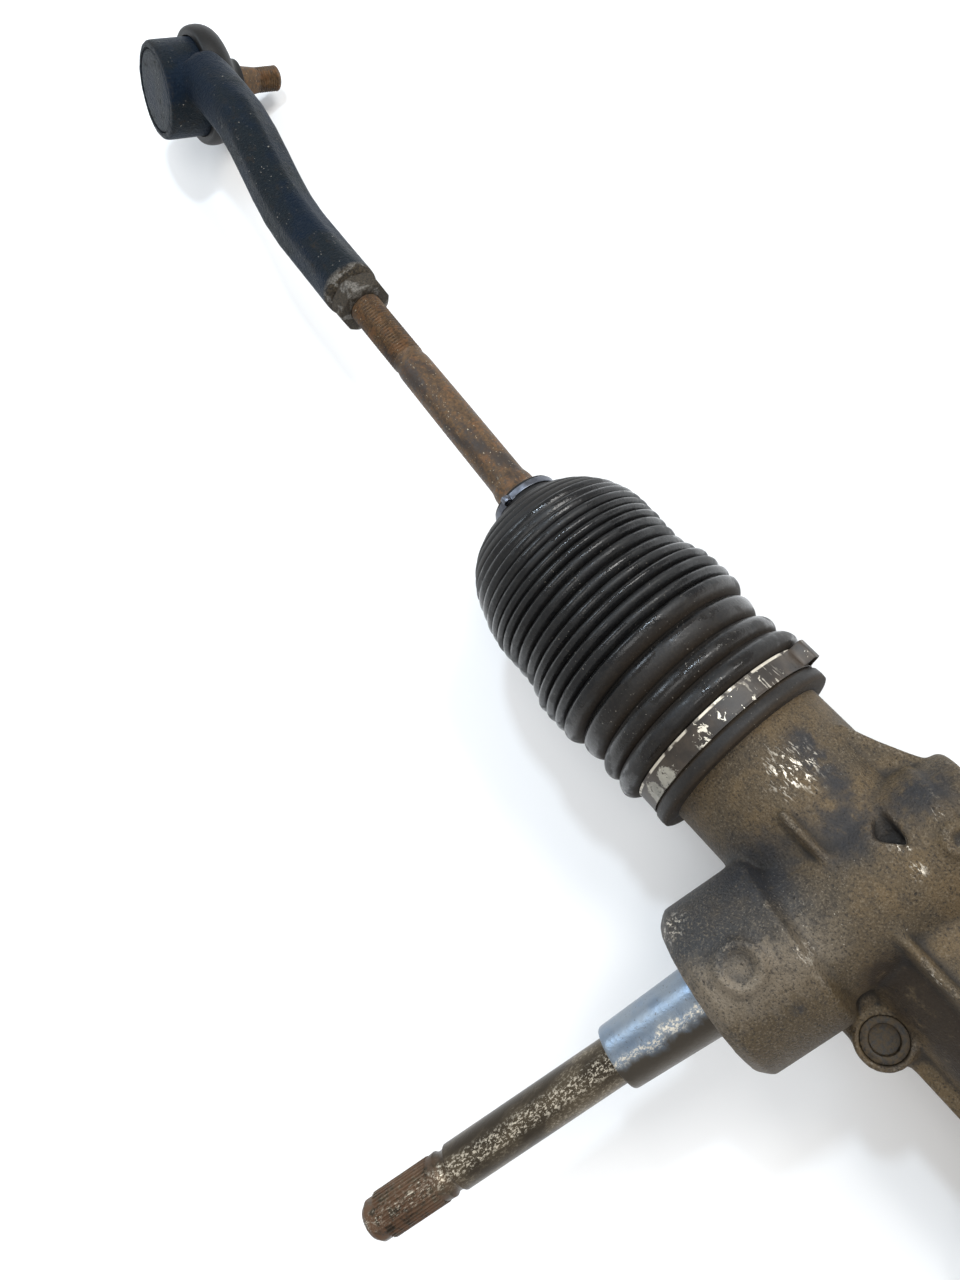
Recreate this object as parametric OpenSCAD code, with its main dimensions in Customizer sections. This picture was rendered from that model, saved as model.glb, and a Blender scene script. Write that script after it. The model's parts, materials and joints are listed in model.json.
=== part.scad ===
// Manual rack and pinion steering gear with both tie rods.
// X runs along the rack, the input shaft points to -Y, and Z is up.
// The origin is the centre of the four mounting bolts, on the mounting face.
// The rack is stored drawn towards the pinion end, so the far bellows is the longer one.

/* [Layout] */
// Height of the rack axis above the mounting face
rack_h = 55; // [55:0.5:58]
// Distance from the mounting centre to the pinion
pinion_x = 215; // [212:1:218]
// Distance from the pinion to the near inner ball
near_reach = 105; // [102:0.5:106]
// Distance from the pinion to the far inner ball
far_reach = 535; // [532:0.5:536]

/* [Rack and pinion] */
// Diameter of the rack bar
rack_d = 24; // [23.9:0.1:24.1]
// Gear module
gear_m = 2; // [2:0.01:2]
// Number of pinion teeth
pinion_teeth = 8; // [8:1:8]
// Tilt of the pinion axis in the plane of the rack
pinion_tilt = 7.5; // [6:0.5:9]
// Diameter of the input shaft
shaft_d = 16; // [15.8:0.1:16]
// Distance from the rack to the shaft's free end
shaft_reach = 201; // [195:1:205]

/* [Housing] */
// Outer diameter of both housing necks
neck_d = 62; // [62:0.1:62.4]
// Distance from the pinion to the near end of the housing
near_end = 72; // [71.5:0.5:72]
// Distance from the pinion to the far end of the housing
far_end = 432; // [432:0.5:433]
// Diameter of the pinion tower
tower_d = 59; // [56:0.5:61]
// Distance between the mounting bolts along the rack
bolt_pitch_x = 200; // [196:1:204]
// Distance between the mounting bolts across the rack
bolt_pitch_y = 92; // [90:1:96]

/* [Tie rods] */
// Diameter of the threaded rod
rod_d = 14; // [13.6:0.1:14]
// Distance between the inner and outer ball centres
rod_reach = 372.5; // [370:0.5:376]
// Lean of the rods towards +Y
rod_toe = 4.8; // [3:0.1:5.5]
// Droop of the rods below the rack
rod_droop = 2.5; // [1:0.1:3]
// Thread diameter of the outer studs
stud_d = 12; // [11.6:0.1:12]

/* [Hidden] */
$fn = 48;
// radial gap of a running fit, of a fixed fit, and of soft pieces that move apart
run_gap = 0.05;
fix_gap = 0.02;
soft_gap = 0.3;
rack_r = rack_d / 2;
shaft_r = shaft_d / 2;
journal_r = shaft_r + 0.3;
neck_r = neck_d / 2;
rod_r = rod_d / 2;
// gear geometry: stub teeth at a high pressure angle, so eight teeth need no undercut
pressure = 28;
pitch_r = gear_m * pinion_teeth / 2;
pitch_p = PI * gear_m;
addendum = 0.8 * gear_m;
dedendum = gear_m;
flank_gap = 0.1;
base_r = pitch_r * cos(pressure);
pinion_h = 13;
// stations on the pinion axis, measured from the rack towards the shaft's free end
bearing_s = 20;
bearing_w = 10;
shoulder_s = 29;
tower_s = 63;
snout_s = 99;
journal_s = -35;
boss_s = -41;
// ball joints
ball_r = 12;
seat_r = 13.5;
mouth_x = 7.5;
socket_r = 19.5;
socket_back = 26;
washer_t = 1.5;
thread_r = 8;
thread_len = 18;
outer_seat_r = 14;
outer_cup_r = 22;
stud_azimuth = 100.75;
stud_drop = 36.9;
stud_len = 49;
// bellows, measured outwards from the lip that faces the housing
lip_x = 17;
boot_skin = 2.6;
boot_end_s = 81.4;
near_side = -1;
far_side = 1;

// ---- frames ----

// origin on the rack axis, under the pinion
module at_crossing() translate([-pinion_x, 0, rack_h]) children();

// +Z along the pinion axis, out of the tower; +Y up
module along_pinion() at_crossing() translate([0, 0, pinion_h]) rotate([90, 0, -pinion_tilt]) children();

// origin at a housing end, +X outwards
module at_neck(side)
    at_crossing() translate([side < 0 ? -near_end : far_end, 0, 0])
        mirror([side < 0 ? 1 : 0, 0, 0]) children();

// origin at an inner ball, +X outwards
module at_ball(side)
    at_crossing() translate([side < 0 ? -near_reach : far_reach, 0, 0])
        mirror([side < 0 ? 1 : 0, 0, 0]) children();

// origin at an inner ball, +Z along the tie rod, +Y sideways
module along_rod(side) at_ball(side) rotate([0, 90 + rod_droop, rod_toe]) children();

// origin at an outer ball, +Z along its stud
module along_stud(side)
    at_ball(side)
        translate(rod_reach * [cos(rod_droop) * cos(rod_toe), cos(rod_droop) * sin(rod_toe), -sin(rod_droop)])
            rotate([0, 90 + stud_drop, stud_azimuth]) children();

// ---- shared shapes ----

// straight bar along Z
module bar(z0, z1, r) translate([0, 0, z0]) cylinder(h = z1 - z0, r = r);

// tapered bar along Z
module taper(z0, z1, r0, r1) translate([0, 0, z0]) cylinder(h = z1 - z0, r1 = r0, r2 = r1);

// ring along Z
module ring(z0, z1, r_in, r_out) difference() { bar(z0, z1, r_out); bar(z0 - 1, z1 + 1, r_in); }

// straight bar along X
module bar_x(x0, x1, r) translate([x0, 0, 0]) rotate([0, 90, 0]) cylinder(h = x1 - x0, r = r);

// tapered bar along X
module taper_x(x0, x1, r0, r1)
    translate([x0, 0, 0]) rotate([0, 90, 0]) cylinder(h = x1 - x0, r1 = r0, r2 = r1);

// round bar between two points of the YZ plane, with a slightly larger ball at the first
module limb(p, q, r) {
    run = q - p;
    translate([0, p[0], p[1]]) {
        rotate([-atan2(run[0], run[1]), 0, 0]) cylinder(h = norm(run), r = r);
        sphere(r = r + 0.1);
    }
}

// ---- housing ----

rack_bore_r = 14;
tube_bore_r = 19;
tube_r = 25;
end_bore_r = 23;
near_bore_len = 32;
far_bore_len = 18;
pinion_bore_r = 10.8;
bearing_r = 17.5;
yoke_r = 15.8;
adjuster_r = 17;
lug_r = 15;
lug_top = 24;
bush_r = 11;
sleeve_r = 7.5;
bolt_r = 5.25;
pocket_floor = 28.5;
boss_x = 35;
boss_y = -31;

// centres of the four mounting bolts
module at_bolts()
    for (sx = [-1, 1], sy = [-1, 1]) translate([sx * bolt_pitch_x / 2, sy * bolt_pitch_y / 2, 0]) children();

// two feet, each a beam under the tube with a lug at either end
module mounting_feet() {
    beam_w = 24;
    for (sx = [-1, 1])
        translate([sx * bolt_pitch_x / 2 - beam_w / 2, -bolt_pitch_y / 2, 8])
            cube([beam_w, bolt_pitch_y, rack_h - 28]);
    at_bolts() bar(0.8, lug_top, lug_r);
}

// straight rib along X, with sloping sides
module rib(x0, x1, y, foot_w, crest_w, crest_z)
    translate([x0, y, 0]) rotate([90, 0, 90]) linear_extrude(height = x1 - x0)
        polygon([[-foot_w / 2, 20], [foot_w / 2, 20], [crest_w / 2, crest_z], [-crest_w / 2, crest_z]]);

// cast walls before boring
module casting() {
    at_crossing() {
        bar_x(-near_end, 4, neck_r);
        bar_x(4, 384, tube_r);
        // thicker sleeve beside the pinion, cut away on the shaft side of the long rib
        difference() {
            union() {
                bar_x(0, 62, 28.5);
                taper_x(62, 78, 28.5, tube_r);
            }
            translate([16, -32, 4]) cube([64, 25, 30]);
        }
        taper_x(384, 396, tube_r, neck_r);
        bar_x(396, far_end, neck_r);
        // web from the neck to the lower bearing boss
        translate([0, 0, -8]) linear_extrude(height = 26)
            polygon([[-44, 0], [-42, 28], [-31, 32], [-22, 36], [-16, 39], [8, 39], [34, 27], [46, 0]]);
        // yoke boss
        bar(-43.5, 0, 24);
        // upright boss beside the tube
        translate([boss_x, boss_y, 0]) {
            bar(-14, 9, 9.6);
            translate([-9.6, 0, -14]) cube([19.2, 14, 20]);
            translate([-17, -8, -14]) cube([16, 16, 20.5]);
        }
        // short rib on the neck and long rib on the tube
        rib(-34, -10, -5.5, 5, 2.2, 34.5);
        rib(5, 108, -5.6, 6, 2.2, 34);
        // parting flange on the shaft side of the tube
        translate([24, -31, -3]) cube([88, 10, 6]);
    }
    along_pinion() {
        bar(-30, shoulder_s, 24);
        taper(shoulder_s - 3, shoulder_s, 24, tower_d / 2);
        bar(shoulder_s, tower_s - 4, tower_d / 2);
        taper(tower_s - 4, tower_s, tower_d / 2, tower_d / 2 - 3.5);
        bar(boss_s + 2, 0, 22);
        taper(boss_s, boss_s + 2, 20.5, 22);
    }
    mounting_feet();
}

module rack_housing() color("dimgray")
    difference() {
        casting();
        at_crossing() {
            bar_x(-near_end - 1, -near_end + near_bore_len, end_bore_r);
            bar_x(-near_end, far_end, rack_bore_r);
            bar_x(130, far_end, tube_bore_r);
            bar_x(far_end - far_bore_len, far_end + 1, end_bore_r);
            bar(-44, 0, yoke_r + fix_gap);
            bar(-44, -31, adjuster_r + fix_gap);
            translate([boss_x, boss_y, 0]) bar(3, 10, 7.6);
            // shallow three-sided pocket in the pinion barrel
            translate([0, 0, pocket_floor]) linear_extrude(height = 20)
                polygon([[-19, 17.5], [-9.5, 8.5], [-1, 15.5]]);
        }
        along_pinion() {
            bar(-21, 21, pinion_bore_r);
            bar(bearing_s, tower_s + 1, bearing_r + fix_gap);
            bar(journal_s - 2, -20, 9 + fix_gap);
            bar(boss_s - 1, boss_s + 5, 14);
        }
        at_bolts() bar(-1, lug_top + 1, bush_r + fix_gap);
    }

module mount_rubbers() color("black") at_bolts() ring(1.6, lug_top - 0.8, sleeve_r + fix_gap, bush_r);

module mount_sleeves() color("silver") at_bolts() ring(0, lug_top + 0.8, bolt_r, sleeve_r);

module blanking_plug() color("saddlebrown")
    at_crossing() translate([boss_x, boss_y, 0]) difference() {
        bar(3.1, 7.5, 7.5);
        bar(5, 8, 4.8);
    }

// ---- pinion tower ----

module bearing_nut() color("gray")
    along_pinion() difference() {
        ring(30.2, 36, 11, bearing_r);
        for (turn = [0 : 90 : 270]) rotate([0, 0, turn]) translate([13.5, -1.5, 33]) cube([5, 3, 4]);
    }

module oil_seal() color("black") along_pinion() ring(38, 45, journal_r + run_gap, bearing_r);

module pinion_cover() color("lightsteelblue")
    along_pinion() difference() {
        union() {
            bar(48, tower_s, bearing_r);
            taper(tower_s, snout_s, 12.35, 10.9);
        }
        bar(47, snout_s + 1, journal_r + 0.6);
        bar(snout_s - 5, snout_s + 1, 9.8);
    }

module dust_seal() color("black")
    along_pinion() ring(snout_s - 4.9, snout_s - 0.6, journal_r + run_gap, 9.8 - fix_gap);

// ball bearing: pitch circle, balls and raceways
bearing_pitch_r = 13;
bearing_ball_r = 2.38;
raceway_r = 2.45;

module raceway() rotate_extrude() translate([bearing_pitch_r, 0]) circle(r = raceway_r);

module bearing_outer_race() color("silver")
    along_pinion() difference() {
        ring(bearing_s, bearing_s + bearing_w, 14.6, bearing_r);
        translate([0, 0, bearing_s + bearing_w / 2]) raceway();
    }

module bearing_balls() color("gainsboro")
    along_pinion() translate([0, 0, bearing_s + bearing_w / 2])
        for (turn = [0 : 36 : 324]) rotate([0, 0, turn]) translate([bearing_pitch_r, 0, 0])
            sphere(r = bearing_ball_r);

module bearing_inner_race() color("silver")
    along_pinion() difference() {
        ring(bearing_s, bearing_s + bearing_w, 8.5 + fix_gap, 11.4);
        translate([0, 0, bearing_s + bearing_w / 2]) raceway();
    }

circlip_r = 7.5;

module shaft_circlip() color("black")
    along_pinion() difference() {
        ring(30.2, 31.6, circlip_r, 10.2);
        translate([-1.5, 0, 29]) cube([3, 12, 4]);
    }

module needle_shell() color("silver") along_pinion() ring(journal_s, -21, 7.9, 9);

module needle_rollers() color("gainsboro")
    along_pinion() for (turn = [0 : 24 : 336]) rotate([0, 0, turn]) translate([6.95, 0, 0])
        bar(journal_s + 1, -22, 0.9);

module lower_plug() color("darkslategray") along_pinion() difference() {
        bar(boss_s - 1.5, boss_s + 4.9, 14 - fix_gap);
        translate([0, 0, boss_s - 2]) cylinder(h = 4, r = 5, $fn = 6);
    }

// involute function, in degrees
function involute(angle) = tan(angle) * 180 / PI - angle;

// half the angle that a pinion tooth covers at a radius
function tooth_half(r) = 90 / pinion_teeth + involute(pressure) - involute(acos(base_r / r));

function polar(r, angle) = [r * cos(angle), r * sin(angle)];

pinion_root_r = pitch_r - 0.95 * gear_m;
pinion_tip_r = pitch_r + addendum;
flank_steps = 6;
flank_radii = [for (i = [0 : flank_steps]) base_r + (pinion_tip_r - base_r) * i / flank_steps];
flank_last = len(flank_radii) - 1;

function tooth_points(centre) = concat(
    [polar(pinion_root_r, centre - tooth_half(base_r))],
    [for (r = flank_radii) polar(r, centre - tooth_half(r))],
    [for (i = [flank_last : -1 : 0]) polar(flank_radii[i], centre + tooth_half(flank_radii[i]))],
    [polar(pinion_root_r, centre + tooth_half(base_r))]);

module pinion_teeth_bar()
    translate([0, 0, -17]) linear_extrude(height = 34)
        polygon([for (i = [0 : pinion_teeth - 1]) each tooth_points(i * 360 / pinion_teeth - 90)]);

spline_count = 36;
spline_tip_r = shaft_r - 0.05;
spline_depth = 0.5;
spline_start = 173;
pilot_len = 6;
pilot_r = 7.2;
groove_s = 167.5;
journal_end = 100;

// splined length of the input shaft
module spline_bar()
    translate([0, 0, spline_start]) linear_extrude(height = shaft_reach - pilot_len - spline_start)
        polygon([for (i = [0 : spline_count - 1], part = [[-0.25, 0], [0.05, 0], [0.25, 1], [0.55, 1]])
            polar(spline_tip_r - spline_depth * part[1], (i + part[0]) * 360 / spline_count)]);

module pinion_shaft() color("darkgray")
    along_pinion() {
        bar(journal_s + 0.5, -16.5, 6);
        pinion_teeth_bar();
        bar(16.5, bearing_s, 10.4);
        difference() {
            bar(bearing_s - 1, 33, 8.5);
            ring(30.2, 31.6, circlip_r, 12);
        }
        bar(32.5, journal_end, journal_r);
        difference() {
            union() {
                bar(journal_end - 1, groove_s, shaft_r);
                taper(groove_s, spline_start + 0.5, shaft_r, spline_tip_r - 0.4);
            }
            translate([0, 0, groove_s]) rotate_extrude() translate([shaft_r + 2.2, 0]) circle(r = 3.3);
        }
        spline_bar();
        bar(shaft_reach - pilot_len - 1, shaft_reach - 2, pilot_r);
        taper(shaft_reach - 2, shaft_reach, pilot_r, pilot_r - 1.5);
    }

// ---- rack and its support ----

first_gap = -8;
last_gap = 19;
gap_corners = [[-1, addendum], [-1, -dedendum], [1, -dedendum], [1, addendum]];

// half width of a rack tooth gap, at a height above the pitch line
function gap_half(h) = pitch_p / 4 + flank_gap + h * tan(pressure);

// everything above the rack teeth, along the pinion axis
module tooth_cutter()
    translate([0, 0, -36]) linear_extrude(height = 72)
        translate([0, -pitch_r])
            polygon(concat(
                [for (i = [first_gap : last_gap], part = gap_corners)
                    [i * pitch_p + part[0] * gap_half(part[1]), part[1]]],
                [[last_gap * pitch_p + gap_half(addendum), 12],
                 [first_gap * pitch_p - gap_half(addendum), 12]]));

rack_near = near_reach - socket_back - washer_t;
rack_far = far_reach - socket_back - washer_t;

module rack_bar() color("silver")
    difference() {
        at_crossing() difference() {
            bar_x(-rack_near, rack_far, rack_r);
            bar_x(-rack_near - 1, -rack_near + thread_len + 1, thread_r + fix_gap);
            bar_x(rack_far - thread_len - 1, rack_far + 1, thread_r + fix_gap);
        }
        along_pinion() tooth_cutter();
    }

liner_t = 1.2;

module yoke_liner() color("ivory")
    at_crossing() intersection() {
        difference() {
            bar_x(-12, 12, rack_r + run_gap + liner_t);
            bar_x(-13, 13, rack_r + run_gap);
        }
        translate([-13, -20, -20]) cube([26, 40, 16]);
    }

yoke_top = -4;
yoke_foot = -30;
o_ring_z = -25;
o_ring_r = 1.3;

module o_ring_torus(gap)
    translate([0, 0, o_ring_z]) rotate_extrude() translate([yoke_r - o_ring_r, 0]) circle(r = o_ring_r + gap);

module yoke() color("gray")
    at_crossing() difference() {
        bar(yoke_foot, yoke_top, yoke_r);
        bar_x(-20, 20, rack_r + run_gap + liner_t + fix_gap);
        bar(yoke_foot - 1, -21, 9.2);
        o_ring_torus(fix_gap);
    }

module yoke_o_ring() color("black") at_crossing() o_ring_torus(0);

spring_turns = 3.5;
spring_steps = 20;
spring_r = 7.4;
wire_r = 1.15;
wire_sides = 8;
spring_low = -34.2;
spring_high = -22.4;

// rings of points along the coil
function coil_ring(i) = let (
    part = i / (spring_turns * spring_steps),
    turn = 360 * spring_turns * part,
    z = spring_low + (spring_high - spring_low) * part)
    [for (j = [0 : wire_sides - 1])
        let (a = 360 * j / wire_sides, r = spring_r + wire_r * cos(a))
        [r * cos(turn), r * sin(turn), z + wire_r * sin(a)]];

// face lists of a tube made of rings of points
function tube_sides(count, sides) = [for (i = [0 : count - 2], j = [0 : sides - 1])
    [i * sides + j, i * sides + (j + 1) % sides, (i + 1) * sides + (j + 1) % sides, (i + 1) * sides + j]];

module yoke_spring() color("steelblue") at_crossing() {
    count = spring_turns * spring_steps + 1;
    polyhedron(
        points = [for (i = [0 : count - 1]) each coil_ring(i)],
        faces = concat(
            [[for (j = [wire_sides - 1 : -1 : 0]) j]],
            tube_sides(count, wire_sides),
            [[for (j = [0 : wire_sides - 1]) (count - 1) * wire_sides + j]]));
}

module yoke_adjuster() color("slategray")
    at_crossing() difference() {
        bar(-47.5, -31.5, adjuster_r);
        bar(-36, -30, 9.2);
        translate([0, 0, -48]) cylinder(h = 7, r = 7, $fn = 6);
    }

module yoke_lock_nut() color("gray")
    at_crossing() difference() {
        translate([0, 0, -48]) cylinder(h = 4.4, r = 24.5, $fn = 8);
        bar(-49, -43, adjuster_r + fix_gap);
    }

bush_end = far_end - far_bore_len - 4;

module rack_bush() color("ivory")
    at_crossing() bush_ring(bush_end - 20, bush_end, rack_r + run_gap, tube_bore_r - fix_gap);

module bush_snap_ring() color("black")
    at_crossing() bush_ring(bush_end + 0.2, bush_end + 1.8, rack_r + 2, tube_bore_r - fix_gap);

// ring along X
module bush_ring(x0, x1, r_in, r_out) difference() { bar_x(x0, x1, r_out); bar_x(x0 - 1, x1 + 1, r_in); }

// washer at the bottom of an end bore, where the rack's travel stops
module stop_washer(side) color("gray") {
    foot = side < 0 ? -near_bore_len : -far_bore_len;
    at_neck(side) bush_ring(foot + fix_gap, foot + 3, rack_r + 0.6, end_bore_r - fix_gap);
}

// ---- inner ball joints ----

module lock_washer(side) color("dimgray")
    at_ball(side) bush_ring(-socket_back - washer_t, -socket_back, thread_r + fix_gap, 14);

module inner_socket(side) color("gray")
    at_ball(side) difference() {
        union() {
            intersection() {
                bar_x(-socket_back, 9, socket_r);
                union() {
                    translate([-socket_back - 1, -17, -30]) cube([14, 34, 60]);
                    bar_x(-socket_back + 12, 10, socket_r + 1);
                }
            }
            taper_x(9, 14, socket_r, 15.5);
            bar_x(-socket_back - washer_t - thread_len, -socket_back + 1, thread_r);
        }
        sphere(r = seat_r + run_gap);
        taper_x(mouth_x, 14.2, 10.6, 14.3);
    }

module inner_seat(side) color("ivory")
    at_ball(side) difference() {
        intersection() {
            sphere(r = seat_r);
            bar_x(-11, 7, seat_r + 1);
        }
        sphere(r = ball_r + run_gap);
        bar_x(-12, -8, 5);
        bar_x(5, 8, 9.6);
    }

collar_s = 93.5;
nut_s = 200;
nut_t = 8.5;
rod_end_s = 246;

module inner_tie_rod(side) color("saddlebrown")
    along_rod(side) {
        sphere(r = ball_r);
        bar(0, 23, 5.75);
        taper(22, 26, 5.75, rod_r);
        bar(26, rod_end_s - 2, rod_r);
        bar(boot_end_s + 0.4, collar_s, 8);
        taper(rod_end_s - 2, rod_end_s, rod_r, rod_r - 1.5);
    }

module jam_nut(side) color("dimgray")
    along_rod(side) difference() {
        intersection() {
            translate([0, 0, nut_s]) cylinder(h = nut_t, r = 22 / sqrt(3), $fn = 6);
            union() {
                taper(nut_s, nut_s + 2, 11.4, 12.8);
                bar(nut_s + 2, nut_s + nut_t - 2, 12.8);
                taper(nut_s + nut_t - 2, nut_s + nut_t, 12.8, 11.4);
            }
        }
        bar(nut_s - 1, nut_s + nut_t + 1, rod_r + fix_gap);
    }

// ---- outer ball joints ----

arm_r = 12.2;
arm_bend = 14;
arm_roll = 40;
arm_start = 256;
arm_stop = 360;
arm_steps = 8;
arm_rise = 72;

// offset of the arm at a distance along the rod: a smooth bow, upwards and towards the stud side
function arm_offset(s) = let (k = min(1, (s - arm_start) / arm_rise)) arm_bend * k * k * (3 - 2 * k);
arm_path = [for (i = [0 : arm_steps])
    let (s = arm_start + (arm_stop - arm_start) * i / arm_steps) [arm_offset(s), s]];
cup_foot = -15.5;
cup_mouth = 13;

module outer_end(side) color("black")
    difference() {
        union() {
            difference() {
                along_rod(side) {
                    taper(nut_s + nut_t + 0.1, nut_s + nut_t + 3, 10.8, arm_r);
                    bar(nut_s + nut_t + 2.9, arm_start, arm_r);
                    rotate([0, 0, arm_roll])
                        for (i = [0 : arm_steps - 1]) limb(arm_path[i], arm_path[i + 1], arm_r);
                }
                // room for the dust boot
                along_stud(side) bar(4, 40, 27.6);
            }
            along_stud(side) {
                bar(cup_foot, 9, outer_cup_r);
                taper(9, cup_mouth, outer_cup_r, 19.5);
            }
        }
        along_rod(side) bar(nut_s, rod_end_s + 4, rod_r + fix_gap);
        along_stud(side) {
            sphere(r = outer_seat_r + run_gap);
            bar(-12.4, 0, outer_seat_r + run_gap);
            bar(cup_foot - 1, -12.4, 18.5);
            taper(6.5, cup_mouth + 0.1, 11.3, 13.5);
        }
    }

module outer_cap(side) color("dimgray")
    along_stud(side) difference() {
        bar(cup_foot + 0.4, -12.6, 18.5 - fix_gap);
        ring(cup_foot, cup_foot + 1.2, 12, 14);
    }

module outer_seat(side) color("ivory")
    along_stud(side) difference() {
        intersection() {
            union() {
                sphere(r = outer_seat_r);
                bar(-12, 0, outer_seat_r);
            }
            bar(-12, 7, outer_seat_r + 1);
        }
        sphere(r = ball_r + run_gap);
        bar(4.5, 8, 9.9);
    }

module ball_stud(side) color("sienna")
    along_stud(side) {
        sphere(r = ball_r);
        bar(0, 18.2, 6);
        taper(18, 20, 6, 7.5);
        bar(20, 27, 7.5);
        taper(27, 36, 7.5, stud_d / 2);
        bar(36, stud_len - 1.5, stud_d / 2);
        taper(stud_len - 1.5, stud_len, stud_d / 2, stud_d / 2 - 1.5);
    }

module dust_boot(side) color("black")
    along_stud(side) rotate_extrude()
        polygon([[22.3, 4.5], [25.2, 4.5], [24, 5.2], [24, 7.2], [25.6, 7.8], [26.5, 9.5], [26.5, 13],
                 [24.5, 16.5], [17, 20.5], [10.8, 23], [10.5, 27], [7.8, 27], [7.8, 22], [9.5, 20.6],
                 [15.5, 17.6], [21.5, 14.6], [22.3, 13.4]]);

module boot_ring(side) color("dimgray")
    along_stud(side) translate([0, 0, 6.2]) rotate_extrude()
        translate([24 + soft_gap + 0.8, 0]) circle(r = 0.8);

// ---- bellows ----

cuff_r = 34.8;
cuff_tip_r = 12.4;
body_start = 17;
body_end = 92;
far_stretch = (far_reach - far_end - near_reach + near_end) / (body_end - body_start) + 1;

// fold outline as [distance from the lip, radius]: three large folds, then seven even ones
fold_depth = 3.6;
big_folds = [[19.5, 39.8], [24.5, 35], [28.8, 38.6], [33.6, 33.6], [40, 38], [44, 34.4]];
fine_start = 48.5;
fine_pitch = 4.85;
fine_count = 9;

// radius of the fine fold crests, which swell near the middle of the stored bellows
function crest_r(a) = 37.3 + 3.3 * exp(-pow((a - 55) / 11, 2));

fine_folds = [for (i = [0 : fine_count - 1], part = [[0, 0], [fine_pitch / 2, -fold_depth]])
    let (a = fine_start + fine_pitch * i + part[0]) [a, crest_r(a) + part[1]]];
fold_line = concat(big_folds, fine_folds);

function stretched(a, side) = body_start + (a - body_start) * (side < 0 ? 1 : far_stretch);

// half section of the part that surrounds the rack, in [radius, distance] points
function bellows_section(side) = concat(
    [[neck_r + fix_gap, 2.5], [36.8, 2.5], [36.8, 7.6], [cuff_r, 8.2], [cuff_r, 16.8]],
    [for (p = fold_line) [p[1], stretched(p[0], side)]],
    [[32.5, stretched(body_end, side)], [27, stretched(body_end, side)]],
    [for (i = [len(fold_line) - 1 : -1 : 0])
        [fold_line[i][1] - boot_skin, stretched(fold_line[i][0], side) + 0.4]],
    [[neck_r + fix_gap, lip_x + 0.4]]);

module bellows(side) color("black") {
    at_neck(side) translate([-lip_x, 0, 0]) rotate([0, 90, 0])
        rotate_extrude() polygon(bellows_section(side));
    // dome and cuff that follow the tie rod
    along_rod(side) rotate_extrude()
        polygon([[26.5, 38], [32.5, 38], [37.2, 42.5], [36.6, 48], [34.6, 55], [32, 61], [28.6, 66],
                 [24, 69.5], [18, 73], [14, 75], [cuff_tip_r, 76.6], [cuff_tip_r, boot_end_s],
                 [rod_r + soft_gap, boot_end_s], [rod_r + soft_gap, 74], [10, 72.5], [16, 69.5],
                 [22, 66], [26, 62], [29.5, 55], [32, 49]]);
}

strap_from = 8.6;
strap_to = 16.4;

module bellows_strap(side) color("silver")
    at_neck(side) translate([-lip_x, 0, 0]) {
        bush_ring(strap_from, strap_to, cuff_r + fix_gap, cuff_r + 1.2);
        // folded ear that tightens the strap
        rotate([15, 0, 0]) translate([strap_from + 0.5, cuff_r + 1, -4]) difference() {
            cube([6.8, 4.6, 8]);
            translate([-1, 1.3, 2.6]) cube([9, 2, 2.8]);
        }
    }

module bellows_clip(side) color("dimgray")
    along_rod(side) {
        ring(77.4, 80, cuff_tip_r + fix_gap, cuff_tip_r + 1);
        rotate([0, 0, 200]) translate([cuff_tip_r + 0.7, -2, 77.5]) cube([2.6, 4, 2.4]);
    }

rack_housing();
pinion_cover();
dust_seal();
oil_seal();
bearing_nut();
bearing_outer_race();
bearing_balls();
needle_shell();
needle_rollers();
lower_plug();
blanking_plug();
yoke();
yoke_liner();
yoke_o_ring();
yoke_spring();
yoke_adjuster();
yoke_lock_nut();
rack_bush();
bush_snap_ring();
stop_washer(near_side);  // stop_washer_left
stop_washer(far_side);  // stop_washer_right
mount_rubbers();
mount_sleeves();
rack_bar();
lock_washer(near_side);  // lock_washer_left
lock_washer(far_side);  // lock_washer_right
inner_socket(near_side);  // inner_socket_left
inner_socket(far_side);  // inner_socket_right
pinion_shaft();
bearing_inner_race();
shaft_circlip();
inner_seat(near_side);  // inner_seat_left
inner_seat(far_side);  // inner_seat_right
inner_tie_rod(near_side);  // inner_tie_rod_left
inner_tie_rod(far_side);  // inner_tie_rod_right
jam_nut(near_side);  // jam_nut_left
jam_nut(far_side);  // jam_nut_right
outer_end(near_side);  // outer_end_left
outer_end(far_side);  // outer_end_right
outer_cap(near_side);  // outer_cap_left
outer_cap(far_side);  // outer_cap_right
outer_seat(near_side);  // outer_seat_left
outer_seat(far_side);  // outer_seat_right
ball_stud(near_side);  // ball_stud_left
ball_stud(far_side);  // ball_stud_right
dust_boot(near_side);  // dust_boot_left
dust_boot(far_side);  // dust_boot_right
boot_ring(near_side);  // boot_ring_left
boot_ring(far_side);  // boot_ring_right
bellows(near_side);  // bellows_left
bellows(far_side);  // bellows_right
bellows_strap(near_side);  // bellows_strap_left
bellows_strap(far_side);  // bellows_strap_right
bellows_clip(near_side);  // bellows_clip_left
bellows_clip(far_side);  // bellows_clip_right
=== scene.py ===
"""Looks of a rack and pinion steering gear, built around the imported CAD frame.

Lengths in outlines are millimetres along a named axis; everything else is metres in the row frame.
"""

import json
import math

import bpy
import numpy as np
from mathutils import Matrix, Vector

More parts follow.
